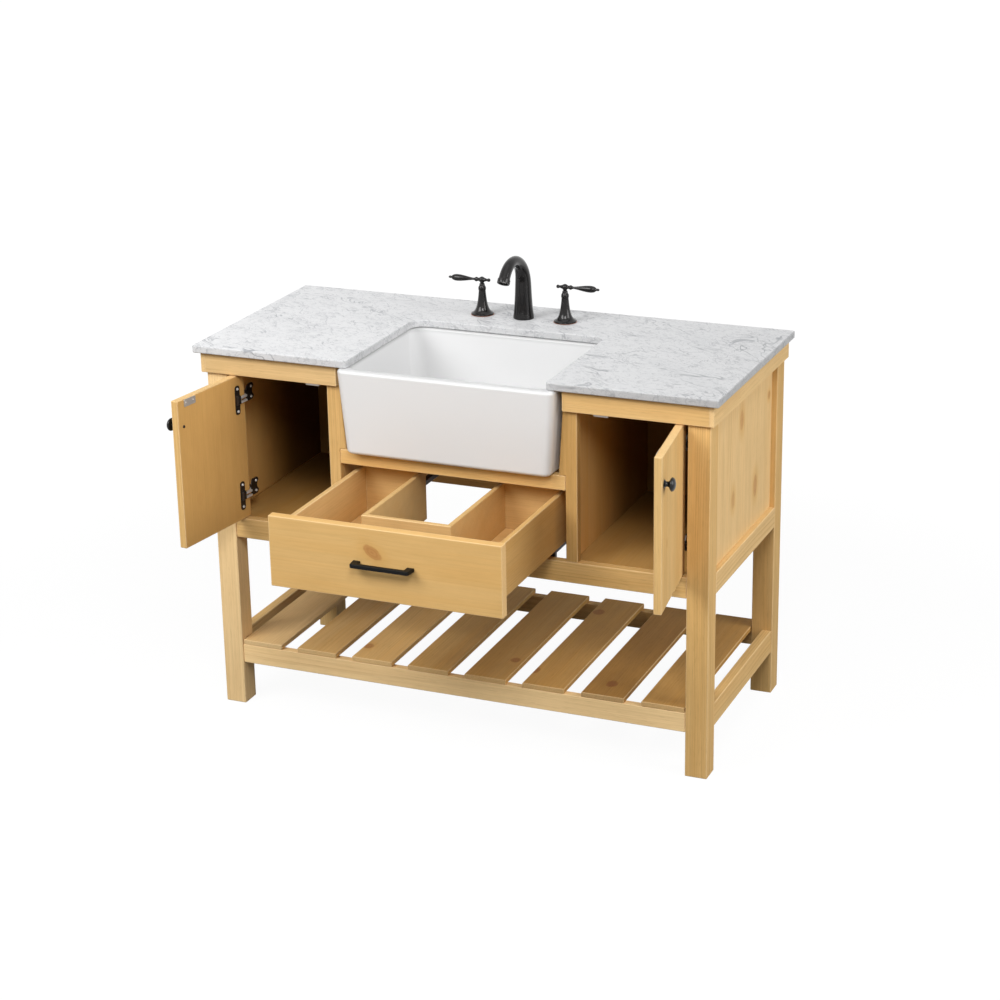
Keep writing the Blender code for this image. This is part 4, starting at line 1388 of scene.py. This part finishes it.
for side, s in sides:
    body = side + "_door"
    pivot = Vector(joints[side + "_door_hinge"]["pos_m"])
    pivot.z = 0.0
    swing = Matrix.Translation(pivot) @ Matrix.Rotation(doorTurn[side], 4, "Z")
    front = hanger["frontFace"]
    wall = s * hanger["legFace"]

    def onDoor(u, v, z):
        return Vector((s * (doorLayout["edge"] - u), doorLayout["innerFace"] + v, z))

    def doorBox(shape, us, vs, zs):
        return boxBetween(shape, onDoor(us[0], vs[0], zs[0]), onDoor(us[1], vs[1], zs[1]))

    def bodyBox(shape, xs, ys, zs):
        return boxBetween(shape, (xs[0], front + ys[0], zs[0]), (xs[1], front + ys[1], zs[1]))

    def hang(name, shape, material, rounds=0):
        move(shape, swing)
        return finishPiece(name, shape, material, body, rounds=rounds)

    knobIn = doorLayout["width"] - doorKnob["in"]
    seatAt = onDoor(knobIn, doorLayout["outerFace"] - doorLayout["innerFace"], doorKnob["height"])
    shape = turned(doorKnob["profile"])
    move(shape, Matrix.Translation(seatAt) @ Matrix.Rotation(math.pi / 2, 4, "X"))
    knob = hang("doorKnob." + side, shape, metals["knobBlack"], 2)
    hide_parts("knob_" + side)

    shape = bmesh.new()
    screwHead(shape, onDoor(knobIn, 0.0, doorKnob["height"]), (0, 1, 0), doorKnob["screw"])
    hang("knobScrew." + side, shape, metals["hingeBlack"])

    shape = bmesh.new()
    plate = doorBox(shape, strike["in"], (0.0, strike["thick"]), strike["up"])
    ease(shape, edgesOf(plate, throughDoor), strike["corner"], 4)
    proud = doorLayout["innerFace"] + 5e-4
    outer = [e for e in shape.edges if all(v.co.y > proud for v in e.verts)]
    ease(shape, [e for e in outer if e.calc_length() > 1e-4], strike["arris"], 2)
    for u in (strike["in"][0] + strike["screwIn"], strike["in"][1] - strike["screwIn"]):
        spot = onDoor(u, strike["screwSunk"], sum(strike["up"]) / 2)
        screwHead(shape, spot, (0, 1, 0), strike["screw"])
    hang("strikePlate." + side, shape, metals["zincPlate"])

    for level, z in doorLayout["hingeHeights"].items():
        label = level + "." + side
        shape = bmesh.new()
        tall = (z - flange["half"], z + flange["half"])
        plate = doorBox(shape, flange["in"], (0.0, flange["thick"]), tall)
        ease(shape, edgesOf(plate, throughDoor), flange["corner"], 6)
        block = doorBox(shape, boss["in"], boss["up"], (z - boss["half"], z + boss["half"]))
        tops = [v for v in block if v.co.y > doorLayout["innerFace"] + boss["up"][1] * 0.6]
        space = Matrix.Translation(-middleOf(tops))
        bmesh.ops.scale(shape, vec=boss["taper"], space=space, verts=tops)
        ease(shape, edgesOf(block), boss["arris"], 3)
        hang("hingeFlange." + label, shape, metals["hingeBlack"])

        # bright screws, and the forked link that reaches back past the door's edge
        shape = bmesh.new()
        for way in (-1, 1):
            spot = onDoor(flange["screwIn"], flange["thick"], z + way * flange["screwUp"])
            screwHead(shape, spot, (0, 1, 0), flange["screw"])
            prong = doorBox(shape, link["in"], link["up"], [z + way * h for h in link["half"]])
            ease(shape, edgesOf(prong), link["arris"], 2)
        hang("hingeLink." + label, shape, metals["brightSteel"])

        # arm and mount stay on the leg
        foot = pivot.y + hanger["reach"]
        under, over = z - hanger["half"], z + hanger["half"]
        plateFace = wall - s * mount["thick"]
        shape = bmesh.new()
        arm = boxBetween(
            shape,
            (pivot.x - s * hanger["thick"], pivot.y, under),
            (pivot.x, foot, over),
        )
        ease(shape, edgesOf(arm), hanger["arris"], 2)
        turnIn = boxBetween(
            shape,
            (pivot.x - s * hanger["thick"] * 0.5, foot - hanger["turn"], under),
            (plateFace, foot, over),
        )
        ease(shape, edgesOf(turnIn), hanger["arris"], 2)
        for radius, half in (hanger["eye"], hanger["pin"]):
            where = Matrix.Translation((pivot.x, pivot.y, z))
            rod = addRod(shape, hanger["rodAround"], radius, 2 * half, where)
            ease(shape, edgesOf(rod, lambda e: span(e, 2) < 1e-6), hanger["rodArris"], 2)
        armPiece = finishPiece("hingeArm." + label, shape, metals["brightSteel"], "carcass")
        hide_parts("hinge_" + level + "_" + side)

        shape = bmesh.new()
        tall = (z - mount["half"], z + mount["half"])
        plate = bodyBox(shape, (wall, plateFace), (mount["near"], mount["far"]), tall)
        ease(shape, edgesOf(plate, lambda e: span(e, 0) > 1e-3), mount["corner"], 6)
        face, bite = s * mount["wingFace"], s * mount["saddleBite"]
        tall = (z - mount["saddleHalf"], z + mount["saddleHalf"])
        saddle = bodyBox(shape, (wall - bite, face + bite), mount["saddle"], tall)
        ease(shape, edgesOf(saddle), mount["saddleArris"], 3)
        outline = [(y, -up) for y, up in mount["wing"]] + list(reversed(mount["wing"]))
        corners = [shape.verts.new((face, front + y, z + up)) for y, up in outline]
        shape.faces.new(corners)
        ease(shape, corners, mount["wingCorner"], 3, "VERTICES")
        wing = [f for f in shape.faces if all(abs(v.co.x - face) < 1e-6 for v in f.verts)]
        thicken(shape, wing, (-s * mount["wingThick"], 0, 0))
        finishPiece("hingeMount." + label, shape, metals["hingeBlack"], "carcass")
        shape = bmesh.new()
        y, up = mount["screwAt"]
        for way in (-1, 1):
            spot = (face - s * mount["wingThick"], front + y, z + way * up)
            screwHead(shape, spot, (-s, 0, 0), mount["screw"])
        finishPiece("mountScrews." + label, shape, metals["brightSteel"], "carcass")

    # magnetic catch on the back of the trim, above the strike plate
    near, far = catch["across"]
    shape = bmesh.new()
    case = bodyBox(shape, (s * near, s * far), catch["depth"], catch["up"])
    ease(shape, edgesOf(case), catch["arris"], 3)
    wide = (s * (near + catch["tabIn"]), s * (far - catch["tabIn"]))
    tab = bodyBox(shape, wide, catch["tabDepth"], catch["tabUp"])
    ease(shape, edgesOf(tab), catch["tabArris"], 2)
    for x in (near + catch["screwIn"], far - catch["screwIn"]):
        spot = (s * x, front + catch["tabDepth"][1], catch["screwUp"])
        screwHead(shape, spot, (0, 1, 0), catch["screw"])
    finishPiece("doorCatch." + side, shape, metals["brightSteel"], "carcass")
print("doors fitted")


# Drawer pull: a square bar between two flared feet.
barPull = {
    "centres": 0.1180,
    "foot": 0.020,
    "flare": 0.36,
    "inner": 0.30,
    "bar": 0.010,
    "arris": 0.0018,
    "outerBend": 0.004,
    "innerBend": 0.003,
}
low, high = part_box("drawer_handle")
reach = barPull["centres"] / 2
outer = reach + barPull["foot"] / 2
bend = reach + barPull["foot"] * barPull["flare"]
inner = reach - barPull["foot"] * barPull["inner"]
barBack = low.y + barPull["bar"]
plan = (
    (-outer, high.y, ""),
    (-bend, low.y, "outerBend"),
    (bend, low.y, "outerBend"),
    (outer, high.y, ""),
    (inner, high.y, ""),
    (inner, barBack, "innerBend"),
    (-inner, barBack, "innerBend"),
    (-inner, high.y, ""),
)
shape = slab(plan, barPull, low.z, high.z, 4, 3)
bar = finishPiece("drawerPull", shape, metals["blackMetal"], "drawer", 50.0)
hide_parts("drawer_handle")
print("drawer pull made")


# Plain white stage and soft studio light.
studio = {
    "floorSize": 60.0,
    "floorShadow": 0.08,
    "floorSeen": 0.80,
    "floorBounce": 0.16,
    "shadowReach": (1.3, 2.6),
    "glow": 1.03,
    "sky": 0.16,
    "aim": (0, 0, 0.5),
    "key": {"place": (-1.7, -2.5, 2.9), "size": 2.1, "watts": 110.0},
    "front": {"place": (1.3, -2.6, 3.1), "size": 1.3, "watts": 66.0},
    "fill": {"place": (3.5, -0.3, 2.0), "size": 2.2, "watts": 77.0},
    "top": {"place": (0.3, 0.0, 3.2), "size": 1.8, "watts": 5.0},
}
shape = bmesh.new()
bmesh.ops.create_grid(shape, x_segments=1, y_segments=1, size=studio["floorSize"] / 2)
floorMesh = meshOf("studioFloor", shape)
floor = addObject("studioFloor", floorMesh)


def inSight(finish):
    # the white surroundings show to the camera, in gloss and through glass
    path = finish.node("LightPath", {}, {})
    return path.larger(path.other("Is Glossy Ray")).larger(path.other("Is Transmission Ray"))


ground = Finish("studioWhite")
seen = inSight(ground)
grey = [paint(level, level, level) for level in (studio["floorBounce"], studio["floorSeen"])]
tint = ground.mix(seen, *grey)
away = ground.node("VectorMath", {"operation": "LENGTH"}, {0: ground.place()}, 1)
share = seen * (1.0 - studio["floorShadow"] * (1.0 - ground.step(away, *studio["shadowReach"])))
ground.surface(Base_Color=tint, Roughness=0.9, Specular_IOR_Level=0.0)
glow = ground.node("Emission", {}, {"Color": paint(1, 1, 1), "Strength": studio["glow"]})
lit = Wire(ground, ground.shader.outputs[0])
blend = ground.node("MixShader", {}, {0: share, 1: lit, 2: glow})
ground.put(blend, ground.tree.nodes["Material Output"].inputs["Surface"])
floorMesh.materials.append(ground.material)

sky = Sky("studioSky")
bpy.context.scene.world = sky.world
dim = sky.node("Background", {}, {"Color": paint(1, 1, 1), "Strength": studio["sky"]})
white = sky.node("Background", {}, {"Color": paint(1, 1, 1), "Strength": 1.0})
blend = sky.node("MixShader", {}, {0: inSight(sky), 1: dim, 2: white})
sky.put(blend, sky.tree.nodes["World Output"].inputs["Surface"])
for name in ("key", "front", "fill", "top"):
    choice = studio[name]
    lampData = bpy.data.lights.new(name + "Light", "AREA")
    lampData.shape = "SQUARE"
    lampData.size = choice["size"]
    lampData.energy = choice["watts"]
    lamp = addObject(name + "Light", lampData)
    aim = Vector(studio["aim"]) - Vector(choice["place"])
    turn = aim.to_track_quat("-Z", "Y").to_matrix().to_4x4()
    lamp.matrix_world = Matrix.Translation(choice["place"]) @ turn
print("studio lit")
